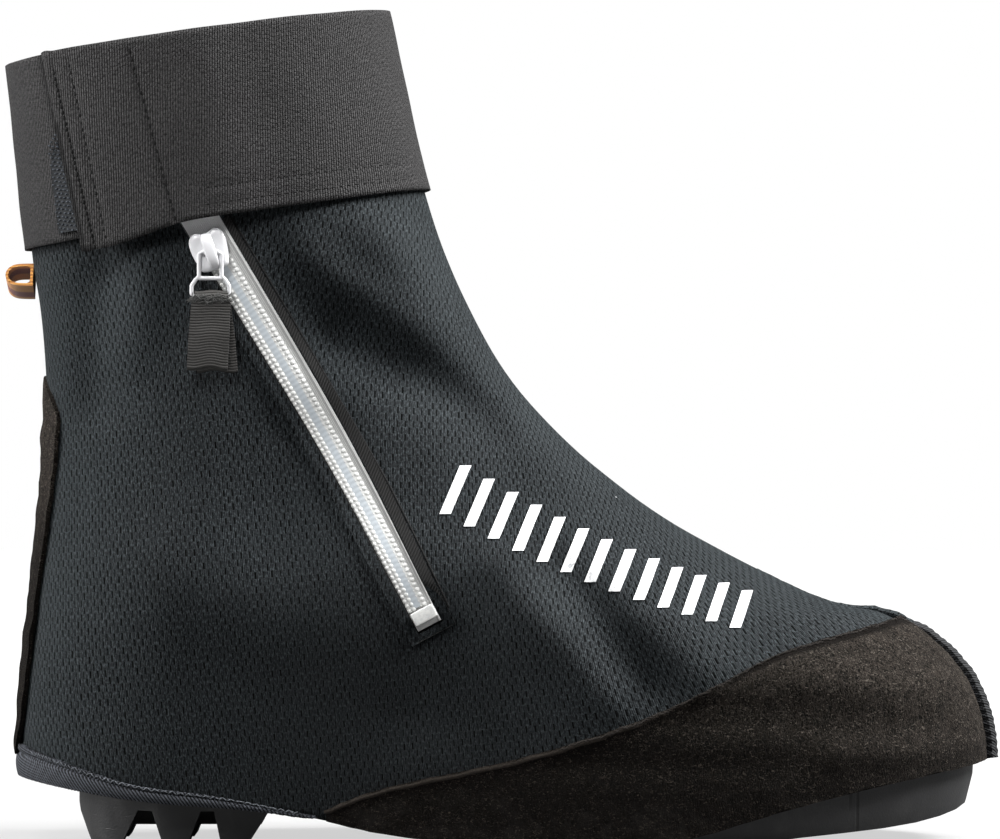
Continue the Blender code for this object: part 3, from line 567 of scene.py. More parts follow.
def makeRubber():
    material, place, _ = newMaterial("sole_rubber", 0.55, Specular_IOR_Level=0.45)
    patch = cloud(place, 60.0, 5.0, 0.6)
    scuffs = ease(cloud(stretch(place, (90.0, 90.0, 700.0)), 1.0, 4.0, 0.7), 0.62, 0.74)
    rubber = blend(patch, (0.014, 0.014, 0.0147), (0.025, 0.025, 0.0257))
    crease = ease(awayFrom(axes(place)[0], 0.1105), 0.0007, 0.0002)   # joint up the side of the toe
    creased = blend(crease, rubber, (0.003, 0.003, 0.003))
    worn = blend(times(scuffs, 0.2), creased, (0.06, 0.06, 0.06))
    dust = times(useGroup(lowDust, place, Top=0.04)["Mask"], 0.12)
    relief = scaled(crease, -2.0, scaled(scuffs, -0.5, cloud(place, 1500.0, 3.0, 0.6)))
    coat(blend(dust, worn, (0.13, 0.125, 0.12)), relief, 0.0002, 0.5, scaled(patch, 0.25, 0.42))
    return material


def makeZipCloth():
    material, _, flat = newMaterial("zip_cloth", 0.75)
    turned = stretch(flat, (1.0, 1.0, 1.0), (0, 0, math.pi / 2))
    weave = useGroup(grainWeave, turned, Pitch=0.0005, Row=0.0016)["Height"]
    down, across, _ = axes(flat)
    grey = blend(weave, (0.48, 0.48, 0.475), (0.60, 0.60, 0.59))
    striped = blend(ease(awayFrom(across, 0.0039), 0.0004, 0.0001), grey, (0.36, 0.36, 0.355))
    edgeHighlight = blend(ease(across, 0.0041, 0.0044), striped, (0.88, 0.88, 0.87))   # painted highlight, bright along the front edge
    paintedLightTop = blend(ease(down, 0.024, 0.018), edgeHighlight, (0.92, 0.92, 0.93))   # painted light above the slider, where the cuff shades the tape
    coat(paintedLightTop, weave, 0.0002, 0.7)
    return material


def makeCore():   # pale bed under the coil's rows, clear along the middle, with faint cross lines
    material, _, flat = newMaterial("zip_coil_core", 0.4)
    lines = useGroup(tapeRibs, flat, Pitch=0.00166)["Height"]
    clear = blend(lines, (0.385, 0.420, 0.450), (0.445, 0.480, 0.510))
    pale = blend(lines, (0.50, 0.505, 0.495), (0.58, 0.58, 0.565))
    away = calc("ABSOLUTE", axes(flat)[1])
    coat(blend(ease(away, 0.0009, 0.0013), clear, pale), lines, 0.0001, 0.5)
    return material


def makeCoil():
    material, place, _ = newMaterial("zip_coil", 0.6, Subsurface_Weight=0.3, Specular_IOR_Level=0.25,
                                     Subsurface_Radius=(0.0015, 0.0015, 0.0015), Subsurface_Scale=1.0)
    spots = cloud(place, 900.0, 3.0, 0.6)
    colour = blend(ease(spots, 0.35, 0.65), (0.60, 0.605, 0.595), (0.72, 0.72, 0.70))
    coat(colour, spots, 0.0001, 0.4, scaled(spots, 0.3, 0.45))
    return material


def makeEnamel():
    material, place, _ = newMaterial("white_enamel", 0.32, Coat_Weight=0.25, Coat_Roughness=0.15)
    ripple = cloud(place, 420.0)
    wear = ease(cloud(place, 800.0, 4.0, 0.7), 0.66, 0.76)
    colour = blend(times(wear, 0.5), (0.57, 0.57, 0.585), (0.48, 0.475, 0.475))
    coat(colour, ripple, 0.0002, 0.25, scaled(ripple, 0.2, 0.22))
    return material


def makeLoopTape():
    material, place, _ = newMaterial("loop_tape", 0.45, 0.2)
    across = axes(place)[1]
    thread = wave(across, 0.0005)
    amber = blend(scaled(thread, 0.5, 0.5), (0.42, 0.14, 0.015), (0.66, 0.31, 0.06))
    stripe = ease(awayFrom(across, -0.004), 0.0022, 0.0012)
    coat(blend(stripe, amber, (0.16, 0.012, 0.01)), thread, 0.0002, 0.6)
    return material


def makeThread(name, *colour):
    material, place, _ = newMaterial(name, 0.8, Specular_IOR_Level=0.25)
    twist = cloud(stretch(place, (2600.0, 2600.0, 2600.0)), 1.0, 2.0, 0.6)
    dark, light = (tuple(factor * c for c in colour) for factor in (0.45, 1.4))
    coat(blend(twist, dark, light), twist, 0.0002, 0.6)
    return material


def makePrint():
    material, place, _ = newMaterial("reflective_print", 0.4)
    crack = ease(cloud(place, 520.0, 5.0, 0.7, 0.5), 0.36, 0.48)
    coat(blend(crack, (0.42, 0.43, 0.44), (0.72, 0.725, 0.73)), crack, 0.0002, 0.5)
    return material


softshell, lining, elastic, suede = makeSoftshell(), makeLining(), makeElastic(), makeSuede()
rubber, zipCloth, coil, coilCore = makeRubber(), makeZipCloth(), makeCoil(), makeCore()
enamel, loopTape, printFilm = makeEnamel(), makeLoopTape(), makePrint()
binding = makeTape("ribbed_binding", (0.0030, 0.0034, 0.0043), (0.060, 0.0650, 0.0770), 0.0011, -0.7, 0.0004)
facing = makeTape("twill_facing", (0.0022, 0.0022, 0.0022), (0.0160, 0.0158, 0.0156), 0.0011, 0.8, 0.0003)
webbing = makeTape("grosgrain", (0.0010, 0.0010, 0.0010), (0.044, 0.0425, 0.0405), 0.00085, 0.0, 0.0003)
cordTape = makeTape("corded_seam", (0.0035, 0.0036, 0.0040), (0.022, 0.023, 0.025), 0.0009, 0.7, 0.0003)
darkThread = makeThread("dark_thread", 0.0022, 0.0022, 0.0022)
paleThread = makeThread("pale_thread", 0.13, 0.14, 0.155)
pileThread = makeThread("pile_thread", 0.046, 0.053, 0.063)
pileCloth = makeThread("pile_cloth", 0.010, 0.0115, 0.0135)
frayThread = makeThread("fray_thread", 0.060, 0.060, 0.058)
suedeFibre = makeThread("suede_fibre", 0.022, 0.018, 0.015)
print("materials made")


# Creases, given one by one: x, z where each starts and ends, its width and its height; below 0 is a trough

zipSideFolds = (
    (-0.1262, 0.1780, -0.1285, 0.1400, 0.0095, -0.0050),
    (-0.1130, 0.1800, -0.1190, 0.1560, 0.0090, 0.0026),
    (-0.0992, 0.1306, -0.1100, 0.0900, 0.0200, 0.0026),
    (-0.0665, 0.1275, -0.0696, 0.0964, 0.0150, -0.0028),
    (-0.0430, 0.2000, -0.0197, 0.1712, 0.0110, 0.0050),
    (-0.0696, 0.1867, -0.0540, 0.1618, 0.0090, -0.0030),
    (-0.0633, 0.1852, -0.0259, 0.1602, 0.0080, 0.0030),
    (-0.0478, 0.1602, -0.0041, 0.1353, 0.0105, -0.0056),
    (-0.0104, 0.1555, 0.0177, 0.1244, 0.0100, 0.0036),
    (-0.0010, 0.0901, 0.0339, 0.0496, 0.0085, 0.0034),
    (0.0161, 0.0870, 0.0426, 0.0527, 0.0080, -0.0044),
    (0.0426, 0.0808, 0.0613, 0.0590, 0.0100, 0.0034),
    (-0.0195, 0.0640, -0.0240, 0.0420, 0.0150, -0.0024),
    (-0.0950, 0.0800, 0.0000, 0.0760, 0.0270, 0.0042),
)
innerSideFolds = (
    (-0.132, 0.168, -0.134, 0.130, 0.0090, -0.0026),
    (-0.100, 0.150, -0.062, 0.118, 0.0130, -0.0032),
    (-0.060, 0.176, -0.030, 0.150, 0.0120, 0.0029),
    (-0.030, 0.128, 0.008, 0.112, 0.0110, -0.0035),
    (-0.090, 0.095, -0.110, 0.055, 0.0200, 0.0022),
    (-0.024, 0.080, -0.030, 0.040, 0.0150, -0.0026),
    (0.024, 0.080, 0.030, 0.045, 0.0100, -0.0032),
    (0.046, 0.072, 0.052, 0.048, 0.0120, 0.0026),
)
randFolds = (
    (0.090, 0.056, 0.136, 0.048, 0.0080, 0.0016),
    (0.050, 0.044, 0.138, 0.038, 0.0070, -0.0016),
    (0.104, 0.030, 0.146, 0.032, 0.0050, 0.0012),
    (0.020, 0.028, 0.090, 0.026, 0.0060, -0.0010),
)


def fromLine(x, z, startX, startZ, endX, endZ):   # distance from a piece of line in side view
    runX, runZ = endX - startX, endZ - startZ
    share = np.clip(((x - startX) * runX + (z - startZ) * runZ) / (runX * runX + runZ * runZ), 0.0, 1.0)
    return np.hypot(x - startX - share * runX, z - startZ - share * runZ)


def foldHeight(folds, x, z):
    return sum(height * ridge(fromLine(x, z, *ends), 0.0, width) for *ends, width, height in folds)


def followFolds(obj):   # every piece on the wall takes the same creases
    spots = readPoints(obj)
    x, y, z = spots.T
    middle = -0.004 + 0.006 * smoothStep(x, -0.15, 0.15)
    height = np.where(y < middle, -foldHeight(zipSideFolds, x, z), foldHeight(innerSideFolds, x, z))
    fade = smoothStep(np.abs(y - middle), 0.010, 0.032)   # none on the centre line, rim and cuff
    spots[:, 1] += height * fade * smoothStep(z, 0.022, 0.044) * smoothStep(-z, -0.207, -0.188)
    writePoints(obj, spots)


# Upper

shellLook = {"levels": 2, "lean": 0.5, "leanFrom": (0.0, 0.11), "leanHeight": 0.075, "ripple": 0.00018,
             "axis": ((-0.095, 0.26), (-0.085, 0.085), (0.11, 0.036)), "middle": -0.002}


def outsideFaces(mesh):   # true where a face looks away from the shoe's hollow
    middle = [Vector((x, shellLook["middle"], z)) for x, z in shellLook["axis"]]
    result = []
    for face in mesh.polygons:
        aways = []
        for start, end in zip(middle, middle[1:]):
            run = end - start
            share = min(max((face.center - start).dot(run) / run.length_squared, 0.0), 1.0)
            aways.append(face.center - start - run * share)
        result.append(face.normal.dot(min(aways, key=lambda away: away.length)) > 0)
    return result


def islandsOf(mesh):   # runs of faces between the seams
    seams = {edge.key for edge in mesh.edges if edge.use_seam}
    users = {}
    for face in mesh.polygons:
        for key in face.edge_keys:
            users.setdefault(key, []).append(face.index)
    found = [False] * len(mesh.polygons)
    for first in range(len(mesh.polygons)):
        if found[first]:
            continue
        found[first], waiting, faces = True, [first], []
        while waiting:
            here = waiting.pop()
            faces.append(here)
            for key in mesh.polygons[here].edge_keys:
                for other in users[key] if key not in seams else ():
                    if not found[other]:
                        found[other] = True
                        waiting.append(other)
        yield faces


def layFlat(obj):   # unwraps at true size, V up
    editPiece(obj)
    bpy.ops.uv.unwrap(method="ANGLE_BASED", margin=0.0)
    objectMode()
    mesh = obj.data
    flat = mesh.uv_layers.active.data
    for faces in islandsOf(mesh):
        realArea, flatArea, climb = 0.0, 1e-12, Vector((0.0, 0.0))
        for index in faces:
            loops = list(mesh.polygons[index].loop_indices)[:3]
            spot = [mesh.vertices[mesh.loops[i].vertex_index].co for i in loops]
            mark = [Vector(flat[i].uv) for i in loops]
            e, f, d, g = spot[1] - spot[0], spot[2] - spot[0], mark[1] - mark[0], mark[2] - mark[0]
            turn = d.x * g.y - d.y * g.x
            realArea += e.cross(f).length
            flatArea += abs(turn)
            climb += Vector((e.z * g.y - f.z * d.y, f.z * d.x - e.z * g.x)) * (1.0 if turn > 0 else -1.0)
        scale = math.sqrt(realArea / flatArea)
        turn = Matrix.Rotation(math.pi / 2 - math.atan2(climb.y, climb.x), 2)
        for index in faces:
            for i in mesh.polygons[index].loop_indices:
                flat[i].uv = turn @ Vector(flat[i].uv) * scale


upper = copyNode("shell", "softshell_upper")
plainTree = sideTree(upper)
sides = {}
for face in upper.data.polygons:
    for key in face.edge_keys:
        sides.setdefault(key, []).append(face.normal.y)
editPiece(upper, "EDGE")
bpy.ops.mesh.select_all(action="DESELECT")
objectMode()
for edge in upper.data.edges:   # centre seams, where the wall turns from one side to the other
    pair = sides[edge.key]
    ends = [upper.data.vertices[v].co for v in edge.vertices]
    rising = abs(ends[0].y - ends[1].y) < 0.5 * (ends[0] - ends[1]).length
    edge.select = len(pair) == 2 and min(pair) < -0.0005 and max(pair) > 0.0005 and rising
pickOnly(upper)
bpy.ops.object.mode_set(mode="EDIT")
bpy.ops.mesh.mark_seam(clear=False)
objectMode()
layFlat(upper)
flat = upper.data.uv_layers.active.data
for loop in upper.data.loops:   # the knit's grain leans forward over the vamp
    spot = upper.data.vertices[loop.vertex_index].co
    lean = shellLook["lean"] * float(smoothStep(spot.x, *shellLook["leanFrom"]))
    lean *= spot.z - shellLook["leanHeight"]
    flat[loop.index].uv.x += lean if spot.y < 0 else -lean
upper.data.materials.append(softshell)
upper.data.materials.append(lining)
for face, outside in zip(upper.data.polygons, outsideFaces(upper.data)):
    face.material_index = 0 if outside else 1
subdivide(upper, shellLook["levels"])
followFolds(upper)
spots = readPoints(upper)
spots += readNormals(upper) * (roughness(spots, 55.0, 3.0) * shellLook["ripple"])[:, None]
writePoints(upper, spots)
finishPiece(upper, "softshell", None, "shell")
upperTree = sideTree(upper)


def seatOn(obj):   # a piece on the wall goes with it from its plain form to its creased one
    spots = readPoints(obj)
    hold = smoothStep(spots[:, 2], 0.022, 0.036)   # the foot's rim has no creases
    for i, spot in enumerate(spots):
        near, out, _, _ = plainTree.find_nearest(Vector(spot))
        here, _, _, _ = upperTree.ray_cast(near + out * 0.006, -out, 0.013)
        if here is not None:
            spots[i] += (here - near) * hold[i]
    writePoints(obj, spots)


# Elastic cuff, its stitch lines and the pile under its end

cuffLook = {
    "levels": 3, "centre": (-0.09, -0.004), "band": 0.060, "ripple": 0.0003,
    "flapTop": (-0.1444, -0.0392, 0.2484), "flapFoot": (-0.1284, -0.0442, 0.1912), "reach": 0.0024,
    "flapSlope": 0.33, "flapLevels": (-0.0418, -0.0400), "pull": (-0.0030, 0.0013),
    "sag": 0.0050, "sagFrom": -0.1000, "sagTo": -0.135, "sagRun": 0.0234, "sagTop": 0.197,
    "bead": (0.0006, 0.0018, 0.0014), "groove": 0.0010, "tuck": (0.0016, 0.0004),
    "lines": (   # x, z of both ends; pitch; length, width, height of a stitch; depth of the groove
        (-0.1404, 0.2428, -0.1270, 0.1868, 0.00175, (0.00155, 0.00110, 0.0008), 0.0005),
        (-0.1354, 0.2453, -0.1236, 0.1898, 0.00225, (0.00145, 0.00100, 0.0007), 0.0005),
        (-0.1161, 0.2494, -0.1014, 0.1952, 0.00265, (0.00165, 0.00095, 0.0007), 0.0005),
        (-0.0924, 0.2006, -0.0300, 0.2098, 0.00240, (0.00170, 0.00055, 0.0005), 0.0003),
        (-0.0924, 0.2058, -0.0300, 0.2150, 0.00240, (0.00170, 0.00060, 0.0005), 0.0004),
    ),
}


def onFlap(x, y, level):
    return y < level - cuffLook["flapSlope"] * (x - cuffLook["flapFoot"][0])


cuff = copyNode("cuff_band", "elastic_cuff")
top, foot = Vector(cuffLook["flapTop"]), Vector(cuffLook["flapFoot"])
for vertex in cuff.data.vertices:   # the flap's end is drawn back and its foot hangs loose
    spot = vertex.co.copy()
    share = min(max((top.z - spot.z) / (top.z - foot.z), 0.0), 1.0)
    if (spot - top.lerp(foot, share)).length < cuffLook["reach"]:
        vertex.co.x += cuffLook["pull"][0] * share
        vertex.co.y += cuffLook["pull"][1] * share
    low = spot.z < cuffLook["sagTop"] and cuffLook["sagTo"] < spot.x < cuffLook["sagFrom"]
    if low and onFlap(spot.x, spot.y, cuffLook["flapLevels"][0]):
        vertex.co.z -= cuffLook["sag"] * min((cuffLook["sagFrom"] - spot.x) / cuffLook["sagRun"], 1.0)
subdivide(cuff, cuffLook["levels"])
spots, ways = readPoints(cuff), readNormals(cuff)
x, y, z = spots.T.copy()
around, loopLength = ringLength(spots, cuffLook["centre"], 0, 1)
low, high = (np.interp(around, *profile(pick, around, z, 96, 0, loopLength)) for pick in (np.min, np.max))
setUv(cuff, around, (z - low) / (high - low) * cuffLook["band"], loopLength)
facingOut = (ways[:, 1] < -0.2) & (y < -0.02)
sink = np.zeros(len(spots))
for *ends, _, _, depth in cuffLook["lines"]:
    sink += depth * ridge(fromLine(x, z, *ends), 0.0, cuffLook["groove"]) * facingOut
runX, runZ = foot.x + cuffLook["pull"][0] - top.x, foot.z - top.z
ahead = ((x - top.x) * -runZ - (top.z - z) * runX) / math.hypot(runX, runZ)   # of the flap's end
bead, beadAt, beadWidth = cuffLook["bead"]
bead = bead * ridge(ahead, beadAt, beadWidth) * (facingOut & onFlap(x, y, cuffLook["flapLevels"][1]))
spots += ways * (cuffLook["ripple"] * roughness(spots, 60.0, 5.0) + bead - sink)[:, None]
writePoints(cuff, spots)
# painted shade: marks the band just beside the flap's end for the elastic to darken
tuckWidth, tuckEnd = cuffLook["tuck"]
writeValues(cuff, "tuck", ridge(np.minimum(ahead, 0.0), 0.0, tuckWidth) * facingOut * (ahead < tuckEnd))
finishPiece(cuff, "elastic", elastic, "cuff_band")
cuffTree = sideTree(cuff)
for number, (ax, az, bx, bz, pitch, size, _) in enumerate(cuffLook["lines"]):
    places = sewAlong(cuffTree, ((ax, az), (bx, bz)), pitch, 0.0001)
    stampGrains("cuff_stitches_%d" % number, "elastic", darkThread, size, places, 8, 6)

pileLook = {"row": 0.0012, "step": 0.0014, "loop": (0.00105, 0.00060, 0.0012), "corner": (-0.1436, 0.1915),
            "rows": 48, "columns": 24, "slant": 0.14, "jitter": (0.0004, 0.0002, 0.8), "sink": 0.00035,
            "tuck": (0.0060, 0.0065), "tuckTop": (0.212, 0.232), "tuckEnd": (0.128, 0.140)}
pile = copyNode("loop_patch", "pile_patch", 2)
pileTree = sideTree(pile)
spots, ways = readPoints(pile), readNormals(pile)
spots -= ways * pileLook["sink"] * (ways[:, 1] < -0.2)[:, None]
tucked = smoothStep(spots[:, 2], *pileLook["tuckTop"]) * smoothStep(-spots[:, 0], *pileLook["tuckEnd"])
spots[:, 0] += pileLook["tuck"][0] * tucked   # slants in under the flap
writePoints(pile, spots)
setUv(pile, spots[:, 2], spots[:, 0])
finishPiece(pile, "loop_pile", pileCloth, "loop_patch", angle=50)
places = []
for row in range(pileLook["rows"]):
    z = pileLook["corner"][1] + row * pileLook["row"]
    edge = pileLook["tuck"][1] * float(smoothStep(z, *pileLook["tuckTop"]))
    for k in range(pileLook["columns"]):
        jitter = noise.noise_vector(Vector((row * 1.7, k * 2.3, 0.5)))
        jitterX, jitterZ, jitterTurn = (a * b for a, b in zip(pileLook["jitter"], jitter))
        x = pileLook["corner"][0] + (k + 0.5 * (row % 2)) * pileLook["step"] + jitterX
        here, out = onSide(pileTree, x, z + jitterZ - pileLook["slant"] * (x + 0.13))
        if here is not None and out.y <= -0.3 and x - pileLook["corner"][0] >= edge:
            places.append(standAt(here - out * 0.0003, Vector((1.0, 0.0, jitterTurn)), out))
stampGrains("pile_loops", "loop_pile", pileThread, pileLook["loop"], places)


# Suede rand and heel strip

suedeLook = {"levels": 3, "edge": 0.0023, "roll": 0.0007, "nap": 0.00020, "bead": (0.0007, 0.0010, 0.0009),
             "torn": (0.03, 0.08), "tornEnd": (-0.134, -0.124), "turned": (0.05, 0.09),
             "fuzz": (0.018, 0.134, 0.00032), "fibre": (0.0012, 0.0003, 0.0003)}


def topEdge(spots, x):   # height of a rand's top edge along the shoe
    return np.interp(x, *profile(np.max, spots[:, 0], spots[:, 2], 72, spots[:, 0].min(), spots[:, 0].max()))


for name, side in (("outer", -1), ("inner", 1)):
    rand = copyNode("rand_" + name, "suede_rand_" + name, suedeLook["levels"])
    seatOn(rand)
    spots, ways = readPoints(rand), readNormals(rand)
    x, y, z = spots.T.copy()
    away = topEdge(spots, x) - z
    facingOut = (ways[:, 1] * side > 0.15) | (ways[:, 0] > 0.5)
    torn = ridge(away + 0.0005 * roughness(spots, 500.0, 4.0), 0.0, suedeLook["edge"])
    torn = torn * smoothStep(x, *suedeLook["torn"]) * smoothStep(-x, *suedeLook["tornEnd"])   # over the toes
    bead, beadAt, beadWidth = suedeLook["bead"]
    turned = ridge(away, beadAt, beadWidth) * (1.0 - smoothStep(x, *suedeLook["turned"]))   # further back
    push = suedeLook["nap"] * (roughness(spots, 240.0, 1.0) + 0.6 * roughness(spots, 600.0, 2.0))
    push += bead * turned - suedeLook["roll"] * torn
    push += foldHeight(randFolds, x, z) * smoothStep(away, 0.0, 0.006) * smoothStep(z, 0.016, 0.028)
    spots += ways * (push * facingOut)[:, None]
    writePoints(rand, spots)
    # below 0 is the turned-in edge, which the suede paints paler as a highlight
    writeValues(rand, "rawEdge", torn - turned * facingOut)
    finishPiece(rand, "suede", suede, "rand_" + name, angle=60)

    tree = sideTree(rand)
    edgeX = np.arange(*suedeLook["fuzz"])
    fuzz = []
    for k, (x, z) in enumerate(zip(edgeX, topEdge(spots, edgeX))):
        jitter = noise.noise_vector(Vector((k * 3.1, 0.7, 2.0 * side)))
        here, out = onSide(tree, x, z - 0.0007 + 0.0007 * jitter.x, side)
        if here is not None:
            hair = Vector((1.0, 0.3 * side, 1.6 * jitter.y + 0.5))
            fuzz.append(standAt(here + out * 0.0001, hair, out, (1.0 + 0.7 * jitter.z, 1.0, 1.0)))
    stampGrains("suede_fuzz_" + name, "suede", suedeFibre, suedeLook["fibre"], fuzz, 5)

stripLook = {"levels": 2, "nap": 0.0002, "wave": 0.0009, "drop": 0.0034, "dropFrom": (-0.045, -0.031),
             "tip": 0.0030, "tipSink": 0.0011, "tipRun": 0.0100}
strip = copyNode("heel_strip", "suede_heel_strip", stripLook["levels"])
seatOn(strip)
spots = readPoints(strip)
spots += readNormals(strip) * (stripLook["nap"] * roughness(spots, 260.0, 7.0))[:, None]
spots[:, 0] += stripLook["wave"] * roughness(spots * np.array((0.0, 0.0, 1.0)), 130.0, 9.0)   # cut by hand
spots[:, 2] -= stripLook["drop"] * smoothStep(-spots[:, 2], *stripLook["dropFrom"])   # down behind the hem
rise = smoothStep(spots[:, 2], spots[:, 2].max() - stripLook["tipRun"], spots[:, 2].max())
atTop = spots[rise > 0.8, 1]
spots[:, 0] += stripLook["tipSink"] * rise   # its top runs out in a point on the seam
spots[:, 2] += stripLook["tip"] * rise * ridge(spots[:, 1], atTop.mean(), 0.3 * np.ptp(atTop))
writePoints(strip, spots)
writeValues(strip, "rawEdge", np.zeros(len(spots)))
finishPiece(strip, "suede", suede, "heel_strip", angle=60)


# Bindings

seamLook = {"levels": 4, "centre": (0.09, 0.03), "pitch": 0.0024, "depth": 0.00012, "vampEnd": 0.131,
            "middle": 0.001, "twist": 2.0, "sink": 0.0012, "girth": 0.014,
            "ground": (0.078, 0.136, 0.002), "fade": (0.130, 0.137)}
seam = copyNode("toe_seam_binding", "toe_binding", seamLook["levels"])
seatOn(seam)
spots = readPoints(seam)
drops = []
step = seamLook["ground"][2]
for low in np.arange(*seamLook["ground"]):   # lies down on the vamp
    here = (spots[:, 0] >= low) & (spots[:, 0] < low + step)
    over = Vector((low + step / 2, seamLook["middle"], 0.2))
    ground = upperTree.ray_cast(over, Vector((0, 0, -1)))[0]
    if np.any(here) and ground is not None:
        drops.append((over.x, min(ground.z - seamLook["sink"] - spots[here, 2].min(), 0.0)))
fade = 1.0 - smoothStep(spots[:, 0], *seamLook["fade"])
spots[:, 2] += np.interp(spots[:, 0], *np.array(drops).T) * fade
writePoints(seam, spots)
along, _ = ringLength(spots, seamLook["centre"], 0, 2)
reach = np.hypot(spots[:, 0] - seamLook["centre"][0], spots[:, 2] - seamLook["centre"][1])
core = profile(lambda here: np.ptp(here) / 2 + here.min(), along, reach, 48, along.min(), along.max())
turn = np.arctan2(reach - np.interp(along, *core), spots[:, 1] - seamLook["middle"]) / (2 * math.pi)
setUv(seam, along, seamLook["girth"] * turn)
ribs = np.sin(2 * math.pi * (along / seamLook["pitch"] + seamLook["twist"] * turn))
rope = 0.15 + 0.85 * smoothStep(spots[:, 0], seamLook["vampEnd"] - 0.006, seamLook["vampEnd"] + 0.002)
spots += readNormals(seam) * (seamLook["depth"] * ribs * rope)[:, None]
writePoints(seam, spots)
seam.data.materials.append(cordTape)
seam.data.materials.append(softshell)
for face in seam.data.polygons:   # a turned seam in the cloth over the vamp, a corded one over the toe
    face.material_index = 1 if face.center.x < seamLook["vampEnd"] else 0
finishPiece(seam, "binding", None, "toe_seam_binding", angle=60)

hemLook = {"levels": 4, "centre": (-0.09, -0.004), "pitch": 0.0014, "slant": 0.7, "depth": 0.00016,
           "lift": 0.0036, "liftFrom": (0.110, 0.150), "swell": (0.0005, 0.7), "gap": (0.0007, 0.72, 0.06),
           "taper": 0.75, "taperFrom": (-0.100, -0.058), "stitchPitch": 0.0013,
           "stitch": (0.0017, 0.00042, 0.0004), "rise": 0.86, "run": (-0.149, -0.064, 60), "zigzag": 0.8}
hem = copyNode("hem_binding", "hem_tape", hemLook["levels"])
seatOn(hem)
spots, ways = readPoints(hem), readNormals(hem)
along, hemLength = ringLength(spots, hemLook["centre"], 0, 1)
low, high = (np.interp(along, *profile(pick, along, spots[:, 2], 60, 0, hemLength))
             for pick in (np.min, np.max))
height = (spots[:, 2] - low) / (high - low)
atHeel = smoothStep(-spots[:, 0], *hemLook["liftFrom"])
spots[:, 2] += hemLook["lift"] * height * atHeel   # taller round the heel
atFoot = height < 0.2
lowSide = np.interp(along, *profile(np.mean, along[atFoot], spots[atFoot, 1], 60, 0, hemLength))
keep = 1.0 - hemLook["taper"] * smoothStep(spots[:, 0], *hemLook["taperFrom"])   # lower towards the arch
spots[:, 1] = lowSide + (spots[:, 1] - lowSide) * keep
spots[:, 2] = low + (spots[:, 2] - low) * keep
setUv(hem, along, spots[:, 2])
ribs = np.sin(2 * math.pi * (along + hemLook["slant"] * spots[:, 2]) / hemLook["pitch"])
facingOut = np.hypot(ways[:, 0], ways[:, 1]) > 0.3
swell, swellTop = hemLook["swell"]
push = hemLook["depth"] * ribs + swell * np.sin(math.pi * np.clip(height / swellTop, 0, 1))
gap, gapAt, gapWidth = hemLook["gap"]
push -= gap * ridge(height, gapAt, gapWidth) * facingOut   # dark gap under the sewn ridge
spots += ways * push[:, None]
writePoints(hem, spots)
finishPiece(hem, "binding", binding, "hem_binding", angle=60)

hemTree = sideTree(hem)
places = []
for side in (-1, 1):
    marks = []
    for x in np.linspace(*hemLook["run"]):
        near = (np.abs(spots[:, 0] - x) < 0.0015) & (spots[:, 1] * side > 0.004)
        if np.any(near):
            marks.append((x, between((spots[near, 2].min(), spots[near, 2].max()), hemLook["rise"])))
    curve = np.polyfit(*np.array(marks).T, 5)
    line = [(x, 0, float(np.polyval(curve, x))) for x in np.linspace(*hemLook["run"])]
    for number, (spot, way) in enumerate(evenSteps(line, hemLook["stitchPitch"])):
        here, out = onSide(hemTree, spot.x, spot.z, side)
        if here is not None:
            tilt = Vector((0, 0, hemLook["zigzag"] if number % 2 else -hemLook["zigzag"]))
            places.append(standAt(here + out * 0.00005, way + tilt, out))
stampGrains("hem_stitches", "binding", paleThread, hemLook["stitch"], places)

loopLook = {"levels": 2, "twist": math.radians(24), "root": (-0.1500, -0.004, 0.1765), "lift": 0.0016}
loop = copyNode("heel_loop", "heel_loop_tape", loopLook["levels"])
editPiece(loop)   # turned so that its band shows
bpy.ops.transform.rotate(value=loopLook["twist"], orient_axis="X", center_override=loopLook["root"])
bpy.ops.transform.translate(value=(0, 0, loopLook["lift"]))
objectMode()
finishPiece(loop, "loop_tape", loopTape, "heel_loop", angle=50)


# Zip

zipLook = {
    "points": ((-0.0976, 0.2020), (-0.0543, 0.1292), (-0.0240, 0.0724)), "half": (0.0060, 0.0053, 0.0043),
    "rows": ((-0.0043, -0.0028), (0.0012, 0.0013)), "pitch": 0.00166,   # across the zip at its top and foot
    "beads": (   # place from the row's middle, length, width, height
        ((-0.0008, 0.0014, 0.0015, 0.0009), (0.0006, 0.0016, 0.0017, 0.0011)),
        ((0.0002, 0.0016, 0.0018, 0.0011), (-0.0010, 0.0011, 0.0008, 0.0008)),
    ),
    "beadRise": 0.00025, "bed": (0.0080, 0.0062), "bedRise": (0.00045, 0.0008), "bedThick": 0.0003,
    "skip": (10, 2), "across": (0.87, 0.494), "lip": 0.0005, "knitFrom": 0.0003, "facing": 0.0034,
    "seam": ((0.0, 0.0020), (0.45, 0.0025), (0.65, 0.0034), (1.0, 0.0032)),   # width by share of length
    "foot": 0.0013, "footFrom": 0.965, "stopDown": 0.0012,
    "cord": (0.0020, 0.0009, 0.0006), "cordPitch": 0.0009,
}
zipCurves = [np.polyfit((0.0, 0.5, 1.0), [point[axis] for point in zipLook["points"]], 2) for axis in (0, 1)]
zipLine = np.stack([np.polyval(curve, np.linspace(-0.04, 1.04, 28)) for curve in zipCurves], axis=1)
zipLengths = np.concatenate([[0.0], np.cumsum(np.hypot(*np.diff(zipLine, axis=0).T))])
toFront = np.array((zipLook["across"][0], 0.0, zipLook["across"][1]))
upZip = np.array((-zipLook["across"][1], 0.0, zipLook["across"][0]))


